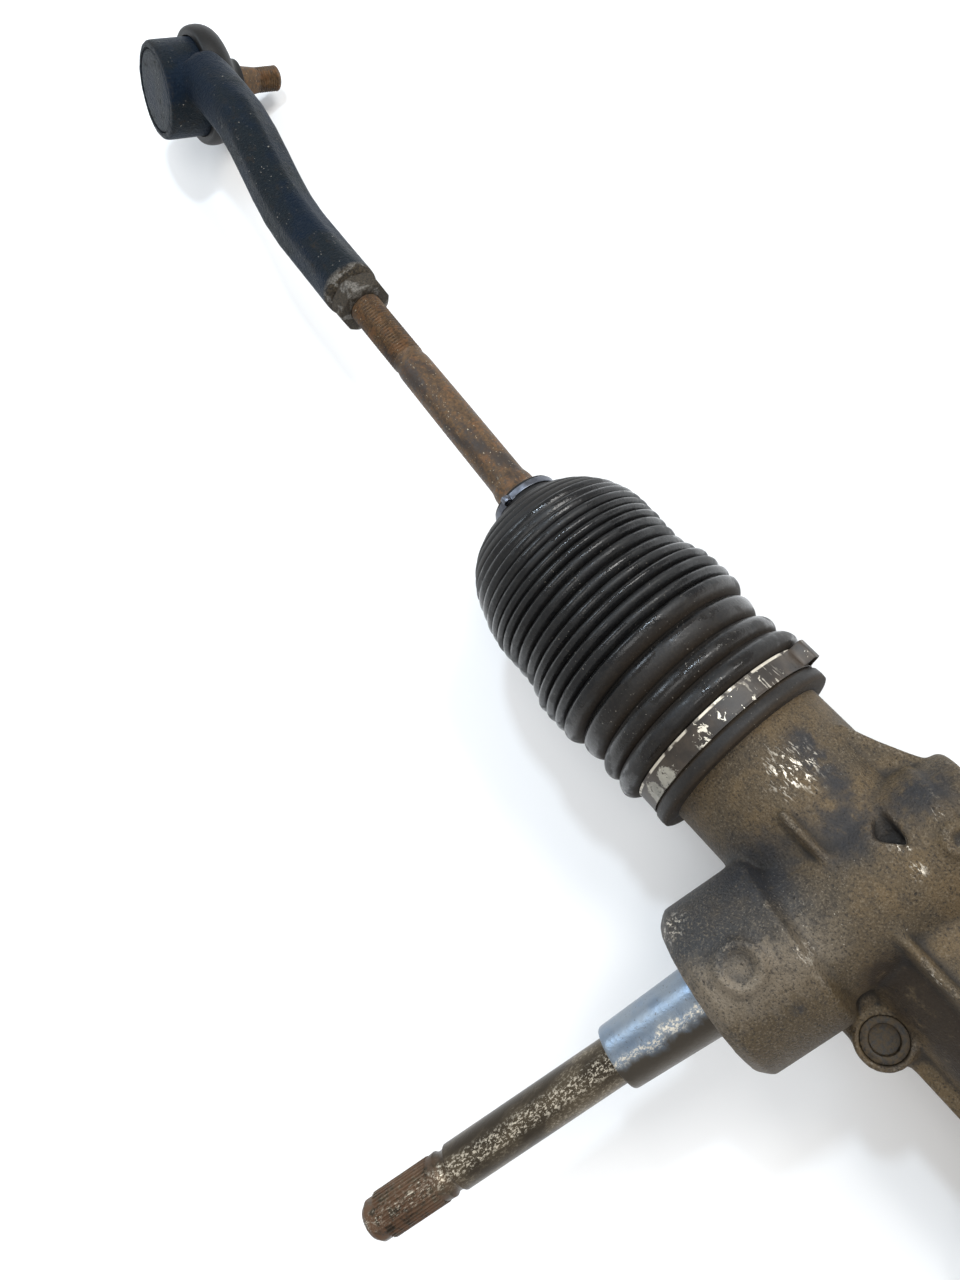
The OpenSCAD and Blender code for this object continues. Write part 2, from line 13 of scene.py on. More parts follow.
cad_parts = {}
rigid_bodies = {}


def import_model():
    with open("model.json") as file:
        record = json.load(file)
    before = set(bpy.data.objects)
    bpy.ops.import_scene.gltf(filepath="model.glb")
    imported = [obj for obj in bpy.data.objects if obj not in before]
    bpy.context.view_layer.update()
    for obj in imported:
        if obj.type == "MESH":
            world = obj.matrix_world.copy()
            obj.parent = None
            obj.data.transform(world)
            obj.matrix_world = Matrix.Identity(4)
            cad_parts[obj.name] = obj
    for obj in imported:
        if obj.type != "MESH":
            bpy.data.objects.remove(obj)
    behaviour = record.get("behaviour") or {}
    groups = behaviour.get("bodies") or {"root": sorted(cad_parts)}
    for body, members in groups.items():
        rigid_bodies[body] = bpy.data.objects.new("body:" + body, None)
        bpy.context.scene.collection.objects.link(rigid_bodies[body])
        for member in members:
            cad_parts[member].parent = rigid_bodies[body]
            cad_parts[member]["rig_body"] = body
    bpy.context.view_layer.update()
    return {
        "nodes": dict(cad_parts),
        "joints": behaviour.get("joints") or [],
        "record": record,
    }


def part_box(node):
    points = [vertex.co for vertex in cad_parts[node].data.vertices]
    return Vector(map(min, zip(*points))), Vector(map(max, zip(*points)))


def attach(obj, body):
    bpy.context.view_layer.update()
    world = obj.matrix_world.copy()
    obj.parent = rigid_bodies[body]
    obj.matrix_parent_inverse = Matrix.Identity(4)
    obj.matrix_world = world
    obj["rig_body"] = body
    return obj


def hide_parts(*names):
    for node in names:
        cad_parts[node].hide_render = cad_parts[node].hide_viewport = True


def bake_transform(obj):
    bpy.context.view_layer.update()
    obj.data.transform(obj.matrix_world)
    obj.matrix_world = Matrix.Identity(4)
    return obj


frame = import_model()

MM = 0.001
SIDES = {"left": -1, "right": 1}
JOINTS = {j["name"]: j for j in frame["joints"]}
MOUNTS = {m["name"]: m for m in frame["record"]["mounts"]}
RANDOM = np.random.default_rng(11)

# ---- places, all from the frame ----

RACK_HEIGHT = JOINTS["inner_sway_left"]["pos_m"][2]
PINION_CENTRE = Vector(JOINTS["pinion_spin"]["pos_m"])
PINION_AXIS = Vector(JOINTS["pinion_spin"]["axis"])
UP = Vector((0, 0, 1))


def placed(origin, forward, up=UP):
    """Matrix with Z forward and Y as near to up as it can be; its unit is the millimetre."""
    z = Vector(forward).normalized()
    y = (up - z * z.dot(up)).normalized()
    matrix = Matrix((y.cross(z), y, z)).transposed().to_4x4() @ Matrix.Scale(MM, 4)
    matrix.translation = Vector(origin)
    return matrix


def side_places(side):
    """Axes of one tie rod: its housing end, inner ball, outer ball and the directions between them."""
    inner = Vector(JOINTS["inner_sway_" + side]["pos_m"])
    outer = Vector(JOINTS["stud_spin_" + side]["pos_m"])
    outward = Vector((SIDES[side], 0, 0))
    low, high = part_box("rack_housing")
    neck_x = low.x if SIDES[side] < 0 else high.x
    return {
        "inner": inner,
        "outer": outer,
        "outward": outward,
        "neck": Vector((neck_x, 0, RACK_HEIGHT)),
        "rod": (outer - inner).normalized(),
        "stud": Vector(JOINTS["stud_spin_" + side]["axis"]),
    }


PLACES = {side: side_places(side) for side in SIDES}

# ---- meshes ----


def mesh_object(name, points, faces, material, attributes=None):
    """A smooth-shaded mesh piece; points are in metres, attributes hold one number for each point."""
    mesh = bpy.data.meshes.new(name)
    mesh.from_pydata(np.asarray(points).tolist(), [], faces)
    for key, values in (attributes or {}).items():
        mesh.attributes.new(key, "FLOAT", "POINT").data.foreach_set("value", np.asarray(values, np.float32))
    mesh.update()
    piece = bpy.data.objects.new(name, mesh)
    bpy.context.scene.collection.objects.link(piece)
    finish_surface(piece, material)
    return piece


def finish_surface(piece, material, sharp=35):
    """Smooth shading that keeps edges sharper than the angle, and the piece's material."""
    piece.data.materials.clear()
    piece.data.materials.append(material)
    piece.data.polygons.foreach_set("use_smooth", [True] * len(piece.data.polygons))
    piece.data.set_sharp_from_angle(angle=math.radians(sharp))


def moved(matrix, points):
    """Points of any array shape, taken through a matrix."""
    m = np.array(matrix)
    return np.asarray(points) @ m[:3, :3].T + m[:3, 3]


def ring_faces(count, sides, loop):
    """Quads between rings of points. The last ring meets the first, or both ends get a cap."""
    faces = []
    for i in range(count if loop else count - 1):
        a, b = i * sides, (i + 1) % count * sides
        faces += [(a + j, a + (j + 1) % sides, b + (j + 1) % sides, b + j) for j in range(sides)]
    if not loop:
        faces += [tuple(range(sides - 1, -1, -1)), tuple((count - 1) * sides + j for j in range(sides))]
    return faces


def rounded(outline, loop=False, steps=4):
    """An outline of (radius, distance, fillet) points, with a curve at each corner that has a fillet."""
    made = []
    count = len(outline)
    for i, (r, z, fillet) in enumerate(outline):
        here = np.array((r, z), float)
        if fillet <= 0 or (not loop and i in (0, count - 1)):
            made.append(here)
            continue
        ends = []
        for other in (outline[i - 1], outline[(i + 1) % count]):
            run = np.array(other[:2], float) - here
            length = np.linalg.norm(run)
            ends.append(here + run / length * min(fillet, 0.48 * length))
        for t in np.linspace(0, 1, steps + 1):
            made.append(ends[0] * (1 - t) ** 2 + 2 * here * t * (1 - t) + ends[1] * t**2)
    return np.array(made)


def turned(outline, sides=96, shape=None):
    """Rings of a turned piece. shape changes a radius by its distance and angle."""
    angle = np.linspace(0, 2 * math.pi, sides, endpoint=False)[None, :]
    radius = np.repeat(outline[:, :1], sides, 1)
    along = np.repeat(outline[:, 1:], sides, 1)
    if shape:
        radius = shape(radius, along, angle)
    return np.stack([radius * np.cos(angle), radius * np.sin(angle), along], -1)


def lathe(name, place, outline, material, loop=False, sides=96, shape=None, attributes=None):
    """A turned piece about the place's Z axis."""
    rings = turned(np.asarray(outline, float), sides, shape)
    points = moved(place, rings).reshape(-1, 3)
    return mesh_object(name, points, ring_faces(len(rings), sides, loop), material, attributes)


def ribbon(name, place, path, width, thickness, material):
    """A flat strip that follows a path in the place's XY plane; its width lies along Z."""
    path = np.array(path, float)
    run = np.gradient(path, axis=0)
    normal = np.stack([-run[:, 1], run[:, 0]], 1)
    normal /= np.linalg.norm(normal, axis=1)[:, None]
    corners = [(-0.5, 0), (0.5, 0), (0.5, 1), (-0.5, 1)]
    rings = []
    for p, n in zip(path, normal):
        rings.append([(*(p + n * thickness * up), width * across) for across, up in corners])
    points = moved(place, np.array(rings)).reshape(-1, 3)
    piece = mesh_object(name, points, ring_faces(len(path), 4, False), material)
    rounded_edges(piece, 0.25)
    return piece


def rounded_edges(piece, width, segments=2, angle=35):
    """Bevels a piece's sharp edges for good; the width is in millimetres."""
    bevel = piece.modifiers.new("edges", "BEVEL")
    bevel.width = width * MM
    bevel.segments = segments
    bevel.limit_method = "ANGLE"
    bevel.angle_limit = math.radians(angle)
    apply_modifiers(piece)
    finish_surface(piece, piece.data.materials[0])


def apply_modifiers(piece):
    graph = bpy.context.evaluated_depsgraph_get()
    baked = bpy.data.meshes.new_from_object(piece.evaluated_get(graph))
    piece.modifiers.clear()
    piece.data = baked


def welded_copy(node, name):
    """A copy of a CAD node's mesh with its split edges joined."""
    piece = bpy.data.objects.new(name, frame["nodes"][node].data.copy())
    bpy.context.scene.collection.objects.link(piece)
    weld = piece.modifiers.new("weld", "WELD")
    weld.merge_threshold = 0.005 * MM
    apply_modifiers(piece)
    return piece


def edged_copy(node, name, width, material):
    """A CAD node's shape with its sharp edges broken, to show in the node's place."""
    piece = welded_copy(node, name)
    flat = piece.modifiers.new("flat", "DECIMATE")
    flat.decimate_type = "DISSOLVE"
    flat.angle_limit = math.radians(1)
    apply_modifiers(piece)
    finish_surface(piece, material)
    rounded_edges(piece, width)
    return show(piece, body_of(node), node)


def body_of(node):
    return frame["nodes"][node]["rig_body"]


def show(piece, body, *nodes):
    """The piece rides on a body and stands for CAD nodes, which are hidden."""
    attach(piece, body)
    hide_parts(*nodes)
    return piece


# ---- remeshed castings and forgings ----


def remeshed(piece, voxel):
    """One skin around everything in the piece, in even small quads."""
    skin = piece.modifiers.new("skin", "REMESH")
    skin.mode = "VOXEL"
    skin.voxel_size = voxel * MM
    apply_modifiers(piece)


def coordinates(mesh):
    points = np.empty(len(mesh.vertices) * 3)
    mesh.vertices.foreach_get("co", points)
    return points.reshape(-1, 3)


def normals(mesh):
    values = np.empty(len(mesh.vertices) * 3, np.float32)
    mesh.vertices.foreach_get("normal", values)
    return values.reshape(-1, 3)


def neighbours(mesh):
    """Ends of every edge, and the number of edges at each point."""
    edges = np.empty(len(mesh.edges) * 2, np.int64)
    mesh.edges.foreach_get("vertices", edges)
    a, b = edges.reshape(-1, 2).T
    return a, b, np.maximum(np.bincount(np.concatenate([a, b]), minlength=len(mesh.vertices)), 1)


def neighbour_mean(values, a, b, count):
    """Mean of each point's neighbours, for one column of values."""
    return (np.bincount(a, values[b], len(count)) + np.bincount(b, values[a], len(count))) / count


def relaxed(piece, rounds, free, hollows_only):
    """Moves each point towards the mean of its neighbours. With hollows_only it fills inside corners,
    as a casting's fillets do, and leaves outside corners alone. free is 0 where a point must stay."""
    mesh = piece.data
    links = neighbours(mesh)
    points = coordinates(mesh)
    refresh = 12
    for turn in range(rounds):
        if turn % refresh == 0:
            mesh.vertices.foreach_set("co", points.ravel())
            mesh.update()
            outward = normals(mesh)
        step = np.stack([neighbour_mean(points[:, k], *links) for k in range(3)], 1) - points
        if hollows_only:
            rise = np.clip((step * outward).sum(1), 0, None)
            step = outward * rise[:, None]
        points += 0.55 * free[:, None] * step
    mesh.vertices.foreach_set("co", points.ravel())
    mesh.update()


def mark_crests(piece, reach, full):
    """Stores how far each point stands out from its neighbours: 1 on a crest, -1 in a hollow."""
    mesh = piece.data
    links = neighbours(mesh)
    points = coordinates(mesh)
    step = points - np.stack([neighbour_mean(points[:, k], *links) for k in range(3)], 1)
    height = (step * normals(mesh)).sum(1) / (full * MM)
    for _ in range(reach):
        height = 0.5 * height + 0.5 * neighbour_mean(height, *links)
    values = np.clip(height, -1, 1).astype(np.float32)
    mesh.attributes.new("crest", "FLOAT", "POINT").data.foreach_set("value", values)


def axis_distance(points, origin, axis):
    """Distance of points from a line, and along it, in millimetres."""
    axis = np.array(Vector(axis).normalized())
    arm = (points - np.array(origin)) / MM
    along = arm @ axis
    return np.linalg.norm(arm - along[:, None] * axis, axis=1), along


def joined(piece, extras):
    """Adds other meshes to a piece's own, before they are remeshed into one skin."""
    with bpy.context.temp_override(active_object=piece, selected_editable_objects=[piece, *extras]):
        bpy.ops.object.join()


# ---- materials ----


class Shader:
    """A node material: each method adds nodes and gives back the output that holds its value."""

    def __init__(self, name, roughness, metallic=0.0):
        self.material = bpy.data.materials.new(name)
        self.material.use_nodes = True
        self.tree = self.material.node_tree
        self.surface = self.tree.nodes["Principled BSDF"]
        self.surface.inputs["Roughness"].default_value = roughness
        self.surface.inputs["Metallic"].default_value = metallic
        self.place = self.tree.nodes.new("ShaderNodeTexCoord").outputs["Object"]

    def put(self, socket, value):
        if isinstance(value, bpy.types.NodeSocket):
            self.tree.links.new(value, socket)
        elif hasattr(value, "__len__") and socket.type == "RGBA":
            socket.default_value = (*value, 1)
        else:
            socket.default_value = value

    def node(self, kind, inputs, **settings):
        made = self.tree.nodes.new("ShaderNode" + kind)
        for key, value in settings.items():
            setattr(made, key, value)
        for key, value in inputs.items():
            self.put(made.inputs[key], value)
        return made

    def noise(self, size, detail=3.0, rough=0.55, stretch=None, warp=0.0):
        """Cloudy noise whose blobs are about size millimetres; stretch scales its axes."""
        place = self.place
        if stretch:
            place = self.node("VectorMath", {0: place, 1: stretch}, operation="MULTIPLY").outputs[0]
        inputs = {
            "Vector": place,
            "Scale": 1 / (size * MM),
            "Detail": detail,
            "Roughness": rough,
            "Distortion": warp,
        }
        return self.node("TexNoise", inputs).outputs[0]

    def step(self, value, low, high, start=0.0, end=1.0):
        """Smooth ramp from start to end as value goes from low to high."""
        inputs = {"Value": value, "From Min": low, "From Max": high, "To Min": start, "To Max": end}
        return self.node("MapRange", inputs, interpolation_type="SMOOTHSTEP").outputs[0]

    def maths(self, operation, a, b=0.0):
        return self.node("Math", {0: a, 1: b}, operation=operation, use_clamp=operation == "ADD").outputs[0]

    def times(self, *values):
        total = values[0]
        for value in values[1:]:
            total = self.maths("MULTIPLY", total, value)
        return total

    def mix(self, factor, a, b):
        inputs = {"Factor": factor, "A": a, "B": b}
        made = self.tree.nodes.new("ShaderNodeMix")
        made.data_type = "RGBA"
        for key, value in inputs.items():
            sockets = [s for s in made.inputs if s.name == key and s.enabled]
            self.put(sockets[0], value)
        return [s for s in made.outputs if s.enabled][0]

    def spot(self, centre, radius, soft=0.6, ragged=0.0):
        """1 near a place in the row frame, fading to 0 at radius millimetres; ragged breaks its edge up."""
        offset = self.node("VectorMath", {0: self.place, 1: centre}, operation="DISTANCE").outputs["Value"]
        if ragged:
            shake = self.maths("MULTIPLY", self.noise(radius * 0.35, 4, 0.7), ragged * radius * MM)
            offset = self.maths("SUBTRACT", offset, self.maths("SUBTRACT", shake, ragged * radius * MM / 2))
        return self.step(offset, radius * MM, radius * MM * (1 - soft))

    def near(self, spots, soft, ragged):
        """1 near any of the (centre, radius) spots, given in millimetres."""
        total = 0.0
        for centre, radius in spots:
            total = self.maths("ADD", total, self.spot(row_point(*centre), radius, soft, ragged))
        return total

    def along(self, origin, axis):
        """Distance along a line from a point, in millimetres."""
        arm = self.node("VectorMath", {0: self.place, 1: origin}, operation="SUBTRACT").outputs[0]
        scaled = Vector(axis).normalized() / MM
        return self.node("VectorMath", {0: arm, 1: scaled}, operation="DOT_PRODUCT").outputs["Value"]

    def attribute(self, name):
        return self.node("Attribute", {}, attribute_name=name).outputs["Fac"]

    def bumps(self, *layers):
        """Bump layers of (height, depth in millimetres)."""
        normal = None
        for height, depth in layers:
            inputs = {"Height": height, "Distance": depth * MM, "Strength": 1.0}
            bump = self.node("Bump", inputs)
            if normal:
                self.put(bump.inputs["Normal"], normal)
            normal = bump.outputs[0]
        self.put(self.surface.inputs["Normal"], normal)

    def finish(self, colour, roughness=None, metallic=None, **fixed):
        self.put(self.surface.inputs["Base Color"], colour)
        if roughness is not None:
            self.put(self.surface.inputs["Roughness"], roughness)
        if metallic is not None:
            self.put(self.surface.inputs["Metallic"], metallic)
        for key, value in fixed.items():
            self.surface.inputs[key.replace("_", " ")].default_value = value
        return self.material


def row_point(x, y, z):
    """A place in the row frame given in millimetres."""
    return Vector((x, y, z)) * MM


def cast_aluminium():
    """Sand-cast and dirty: brown on the neck, bare where it was scraped; painted shade and light across the
    tower drum, blue-black to tan, and painted shade in the hollows and in the valley below the rib.
    """
    s = Shader("cast_aluminium", 0.6, 0.3)
    blotch = s.noise(26, 5, 0.62, warp=0.4)
    mottle = s.noise(4.5, 4, 0.65)
    grain = s.noise(0.75, 2, 0.75)
    crest = s.attribute("crest")
    colour = s.mix(s.step(blotch, 0.36, 0.64), (0.104, 0.069, 0.031), (0.064, 0.046, 0.025))
    tower = s.spot(PINION_CENTRE + PINION_AXIS * 0.050, 50, 0.5, 0.5)
    # painted shade and light across the tower drum: blue-black on the neck side, tan in the middle, brown
    # beyond
    across = s.maths("SUBTRACT", s.along(PINION_CENTRE, (1, -0.35, -0.5)), s.step(mottle, 0.3, 0.7, -3, 3))
    drum = s.mix(s.step(across, -14, -3), (0.014, 0.018, 0.023), (0.150, 0.122, 0.088))
    drum = s.mix(s.step(across, 1, 12), drum, (0.058, 0.040, 0.019))
    colour = s.mix(s.times(tower, 0.92), colour, drum)
    colour = s.mix(s.times(s.step(mottle, 0.50, 0.68), 0.45), colour, (0.026, 0.020, 0.014))
    colour = s.mix(s.times(s.step(grain, 0.53, 0.70), 0.50), colour, (0.185, 0.150, 0.105))
    for centre, radius in DARK_STAINS:
        stain = s.times(s.spot(row_point(*centre), radius, 0.8, 0.9), s.step(mottle, 0.25, 0.50), 0.86)
        colour = s.mix(stain, colour, (0.013, 0.015, 0.020))
    colour = s.mix(s.times(s.step(grain, 0.47, 0.33), 0.75), colour, (0.012, 0.010, 0.008))
    # painted shade: dark brown in the valley below the rib on the tube's -Y side
    valley = s.times(s.near(RIB_VALLEY_SHADE, 0.6, 0.5), s.step(mottle, 0.2, 0.5))
    colour = s.mix(s.times(valley, 0.92), colour, (0.018, 0.010, 0.004))
    # painted shade: darker in the hollows and inside corners
    colour = s.mix(s.times(s.step(crest, -0.12, -0.7), 0.85), colour, (0.012, 0.010, 0.008))
    strokes = s.step(s.noise(1.5, 3, 0.7, stretch=(0.42, 1.2, 1), warp=0.5), 0.53, 0.62)
    bare = s.times(s.near(BARE_SCRAPES, 0.9, 1.0), strokes)
    rubbed = s.times(s.step(crest, 0.30, 0.90), s.step(mottle, 0.48, 0.60), s.step(grain, 0.44, 0.60), 0.45)
    colour = s.mix(rubbed, colour, (0.20, 0.17, 0.13))
    scattered = s.times(s.step(s.noise(0.6, 2, 0.6), 0.68, 0.74), s.step(blotch, 0.48, 0.7), 0.6)
    bare = s.maths("ADD", bare, scattered)
    colour = s.mix(bare, colour, (0.68, 0.62, 0.52))
    pits = s.step(s.noise(1.9, 3, 0.65), 0.34, 0.27)
    colour = s.mix(s.times(pits, 0.8), colour, (0.010, 0.008, 0.006))
    s.bumps((s.noise(6, 3, 0.6), 0.45), (grain, 0.30), (s.maths("SUBTRACT", 1.0, pits), 0.22))
    rough = s.step(s.maths("ADD", bare, s.times(tower, 0.5)), 0.0, 1.0, 0.68, 0.34)
    return s.finish(colour, rough, s.step(bare, 0, 1, 0.25, 0.85))


def clean_aluminium():
    """Satin machined collar with painted light: a blue-grey painted reflection on one side, painted shade
    in brown below, and cream flecks between as a painted highlight.
    """
    s = Shader("clean_aluminium", 0.34, 0.9)
    cloud = s.noise(9, 4, 0.6)
    offset = s.along(PINION_CENTRE, (1, -0.13, -0.15))
    across = s.maths("ADD", s.step(offset, -9, 9), s.step(cloud, 0.3, 0.7, -0.12, 0.12))
    pits = s.step(s.noise(0.9, 3, 0.7), 0.62, 0.68)
    # painted reflection: the base is blue-grey, the tint of the cool light
    colour = s.mix(s.step(cloud, 0.3, 0.7), (0.170, 0.220, 0.285), (0.240, 0.275, 0.310))
    # painted shade: brown on the lower side
    colour = s.mix(s.step(across, 0.45, 0.8), colour, (0.072, 0.062, 0.050))
    # painted highlight: a band of cream flecks between the blue-grey side and the shaded side
    band = s.times(s.step(across, 0.30, 0.42), s.step(across, 0.66, 0.50))
    flecks = s.step(s.noise(0.8, 3, 0.75, stretch=(1, 0.6, 1)), 0.46, 0.60)
    colour = s.mix(s.times(band, flecks, 0.8), colour, (0.74, 0.68, 0.56))
    colour = s.mix(s.times(pits, 0.65), colour, (0.08, 0.065, 0.05))
    s.bumps((s.noise(1.6, 3, 0.65), 0.10), (s.noise(0.5, 2), 0.04))
    return s.finish(colour, s.step(cloud, 0.3, 0.7, 0.30, 0.44))


def dark_steel():
    """Plain steel, stained brown, with a bright flecked stripe along it as a painted highlight, and rust at
    the splined end.
    """
    s = Shader("dark_steel", 0.4, 0.8)
    along = s.along(PINION_CENTRE, PINION_AXIS)
    across = s.along(PINION_CENTRE, (1, -0.13, -0.15))
    cloud = s.noise(11, 5, 0.65, stretch=(1, 0.4, 1))
    flecks = s.step(s.noise(0.8, 3, 0.75, stretch=(1, 0.6, 1)), 0.50, 0.62)
    # painted highlight: a bright flecked stripe along the shaft
    highlight_streak = s.times(s.step(across, -5.5, -2.5), s.step(across, 2.5, 0.0))
    colour = s.mix(s.step(cloud, 0.35, 0.65), (0.042, 0.033, 0.023), (0.105, 0.083, 0.055))
    colour = s.mix(s.times(flecks, s.step(cloud, 0.4, 0.6), 0.5), colour, (0.36, 0.31, 0.23))
    colour = s.mix(s.times(highlight_streak, flecks, 0.85), colour, (0.74, 0.67, 0.54))
    rust = s.times(s.step(along, 160, 180), s.step(s.noise(3, 4, 0.7), 0.36, 0.56))
    colour = s.mix(s.times(rust, 0.85), colour, (0.090, 0.042, 0.017))
    s.bumps((s.noise(0.8, 3, 0.7), 0.08))
    return s.finish(colour, s.step(rust, 0, 1, 0.38, 0.7), s.step(rust, 0, 1, 0.8, 0.2))


def steel(name, dark, light, rough):
    """Clean machined steel with soft clouding and fine brushed lines."""
    s = Shader(name, rough, 1.0)
    cloud = s.noise(7, 4, 0.6)
    lines = s.noise(0.6, 2, 0.6, stretch=(1, 0.08, 1))
    colour = s.mix(s.step(s.maths("MULTIPLY", cloud, s.maths("ADD", lines, 0.5)), 0.25, 0.7), dark, light)
    s.bumps((lines, 0.015))
    return s.finish(colour, s.step(cloud, 0.3, 0.7, rough * 0.8, rough * 1.3))


def black_rubber():
    """Moulded rubber: oily and glossy on some crests, matt with brown dust in the large folds, and painted
    shade that darkens it away from the crests.
    """
    s = Shader("black_rubber", 0.5)
    dust = s.attribute("dust")
    oil_and_shade = s.attribute("oil_and_shade")
    cloud = s.noise(16, 4, 0.6)
    fine = s.noise(1.2, 3, 0.7)
    grime = s.times(dust, s.step(cloud, 0.10, 0.55))
    clouding = s.step(s.noise(5, 4, 0.6), 0.35, 0.7)
    colour = s.mix(clouding, (0.0030, 0.0036, 0.0046), (0.0066, 0.0074, 0.0082))
    colour = s.mix(s.times(s.step(fine, 0.45, 0.7), 0.35), colour, (0.020, 0.018, 0.015))
    colour = s.mix(s.times(grime, 0.9), colour, s.mix(fine, (0.014, 0.008, 0.0035), (0.042, 0.027, 0.013)))
    flecks = s.times(s.step(s.noise(0.9, 2, 0.6), 0.69, 0.72), s.step(cloud, 0.50, 0.60))
    colour = s.mix(s.times(flecks, 0.6), colour, (0.36, 0.33, 0.28))
    wet = s.times(s.step(oil_and_shade, 0.55, 0.95), s.step(s.noise(13, 3, 0.6, stretch=(1.8, 1, 1)), 0.42, 0.54))
    # painted shade: darker where the oil and shade value is low, in the fold valleys, the dome, the cuff
    # and the dust boot
    colour = s.mix(s.step(oil_and_shade, 0.45, 0.10), colour, (0.0022, 0.0020, 0.0018))
    rough = s.maths("SUBTRACT", s.step(grime, 0.0, 0.8, 0.48, 0.80), s.times(wet, 0.39))
    s.bumps((fine, 0.12), (s.noise(0.35, 2), 0.03))
    return s.finish(colour, rough, Specular_IOR_Level=0.33)


def black_paint():
    """Black paint over a forging: blue-black where it is whole, brown where it wore, bare at the nut."""
    s = Shader("black_paint", 0.4, 0.0)
    cloud = s.noise(24, 4, 0.6, warp=0.3)
    fine = s.noise(1.1, 4, 0.75)
    crest = s.attribute("crest")
    blue = s.step(cloud, 0.40, 0.62)
    colour = s.mix(blue, (0.0030, 0.0064, 0.0150), (0.0064, 0.0078, 0.0094))
    rubbing = s.noise(3.2, 5, 0.78, stretch=(0.6, 1, 1))
    worn = s.times(s.step(rubbing, 0.52, 0.66), s.step(cloud, 0.44, 0.62))
    worn = s.maths("ADD", worn, s.times(s.step(crest, 0.15, 0.6), s.step(fine, 0.45, 0.6), 0.6))
    colour = s.mix(s.times(worn, 0.65), colour, (0.034, 0.026, 0.019))
    colour = s.mix(s.times(s.step(fine, 0.52, 0.72), 0.40), colour, (0.036, 0.040, 0.046))
    chips = s.times(s.step(s.noise(1.1, 2, 0.6), 0.71, 0.74), s.step(cloud, 0.42, 0.6))
    colour = s.mix(chips, colour, (0.42, 0.39, 0.34))
    bare = s.attribute("bare_end")
    patch = s.times(bare, s.step(s.noise(14, 4, 0.62, warp=0.3), 0.50, 0.56))
    rusty = s.mix(s.step(fine, 0.35, 0.65), (0.020, 0.014, 0.008), (0.064, 0.047, 0.028))
    scuffed = s.mix(s.step(s.noise(0.7, 3, 0.75), 0.38, 0.62), (0.070, 0.062, 0.050), (0.200, 0.183, 0.160))
    colour = s.mix(s.times(bare, 0.92), colour, rusty)
    colour = s.mix(patch, colour, scuffed)
    s.bumps((s.noise(7, 4, 0.6), 0.7), (s.noise(2.2, 4, 0.7), 0.8), (fine, 0.45))
    gloss = s.maths("ADD", worn, bare)
    return s.finish(colour, s.step(gloss, 0, 1, 0.46, 0.74), Specular_IOR_Level=0.17,
                    Specular_Tint=(0.50, 0.78, 1.0, 1.0))


def rusty_steel():
    """Rust over steel: orange-brown, with darker patches and a few bare specks."""
    s = Shader("rusty_steel", 0.62, 0.15)
    cloud = s.noise(13, 5, 0.66, stretch=(0.55, 1, 1), warp=0.3)
    fine = s.noise(1.5, 4, 0.7)
    colour = s.mix(s.step(fine, 0.35, 0.68), (0.046, 0.025, 0.010), (0.120, 0.066, 0.026))
    colour = s.mix(s.times(s.step(s.noise(6, 4, 0.7), 0.5, 0.62), 0.5), colour, (0.150, 0.066, 0.022))
    colour = s.mix(s.times(s.step(cloud, 0.50, 0.66), 0.85), colour, (0.022, 0.016, 0.013))
    specks = s.times(s.step(s.noise(1.0, 2, 0.6), 0.67, 0.71), s.step(cloud, 0.35, 0.5))
    colour = s.mix(s.times(specks, 0.8), colour, (0.48, 0.41, 0.30))
    s.bumps((s.noise(4, 4, 0.65), 0.25), (fine, 0.14))
    return s.finish(colour, s.step(fine, 0.3, 0.7, 0.42, 0.72), s.step(specks, 0, 1, 0.25, 0.9))


def worn_nut():
    """Dark rusty nut with large grey and beige scuffed patches."""
    s = Shader("worn_nut", 0.6, 0.25)
    patch = s.step(s.noise(14, 4, 0.6, warp=0.3), 0.50, 0.56)
    grit = s.noise(0.8, 3, 0.75)
    rusty = s.mix(s.step(grit, 0.35, 0.65), (0.014, 0.010, 0.006), (0.048, 0.036, 0.021))
    scuffed = s.mix(s.step(grit, 0.38, 0.62), (0.052, 0.046, 0.037), (0.150, 0.137, 0.118))
    s.bumps((s.noise(1.8, 4, 0.7), 0.22))
    return s.finish(s.mix(patch, rusty, scuffed), s.step(patch, 0, 1, 0.72, 0.52))


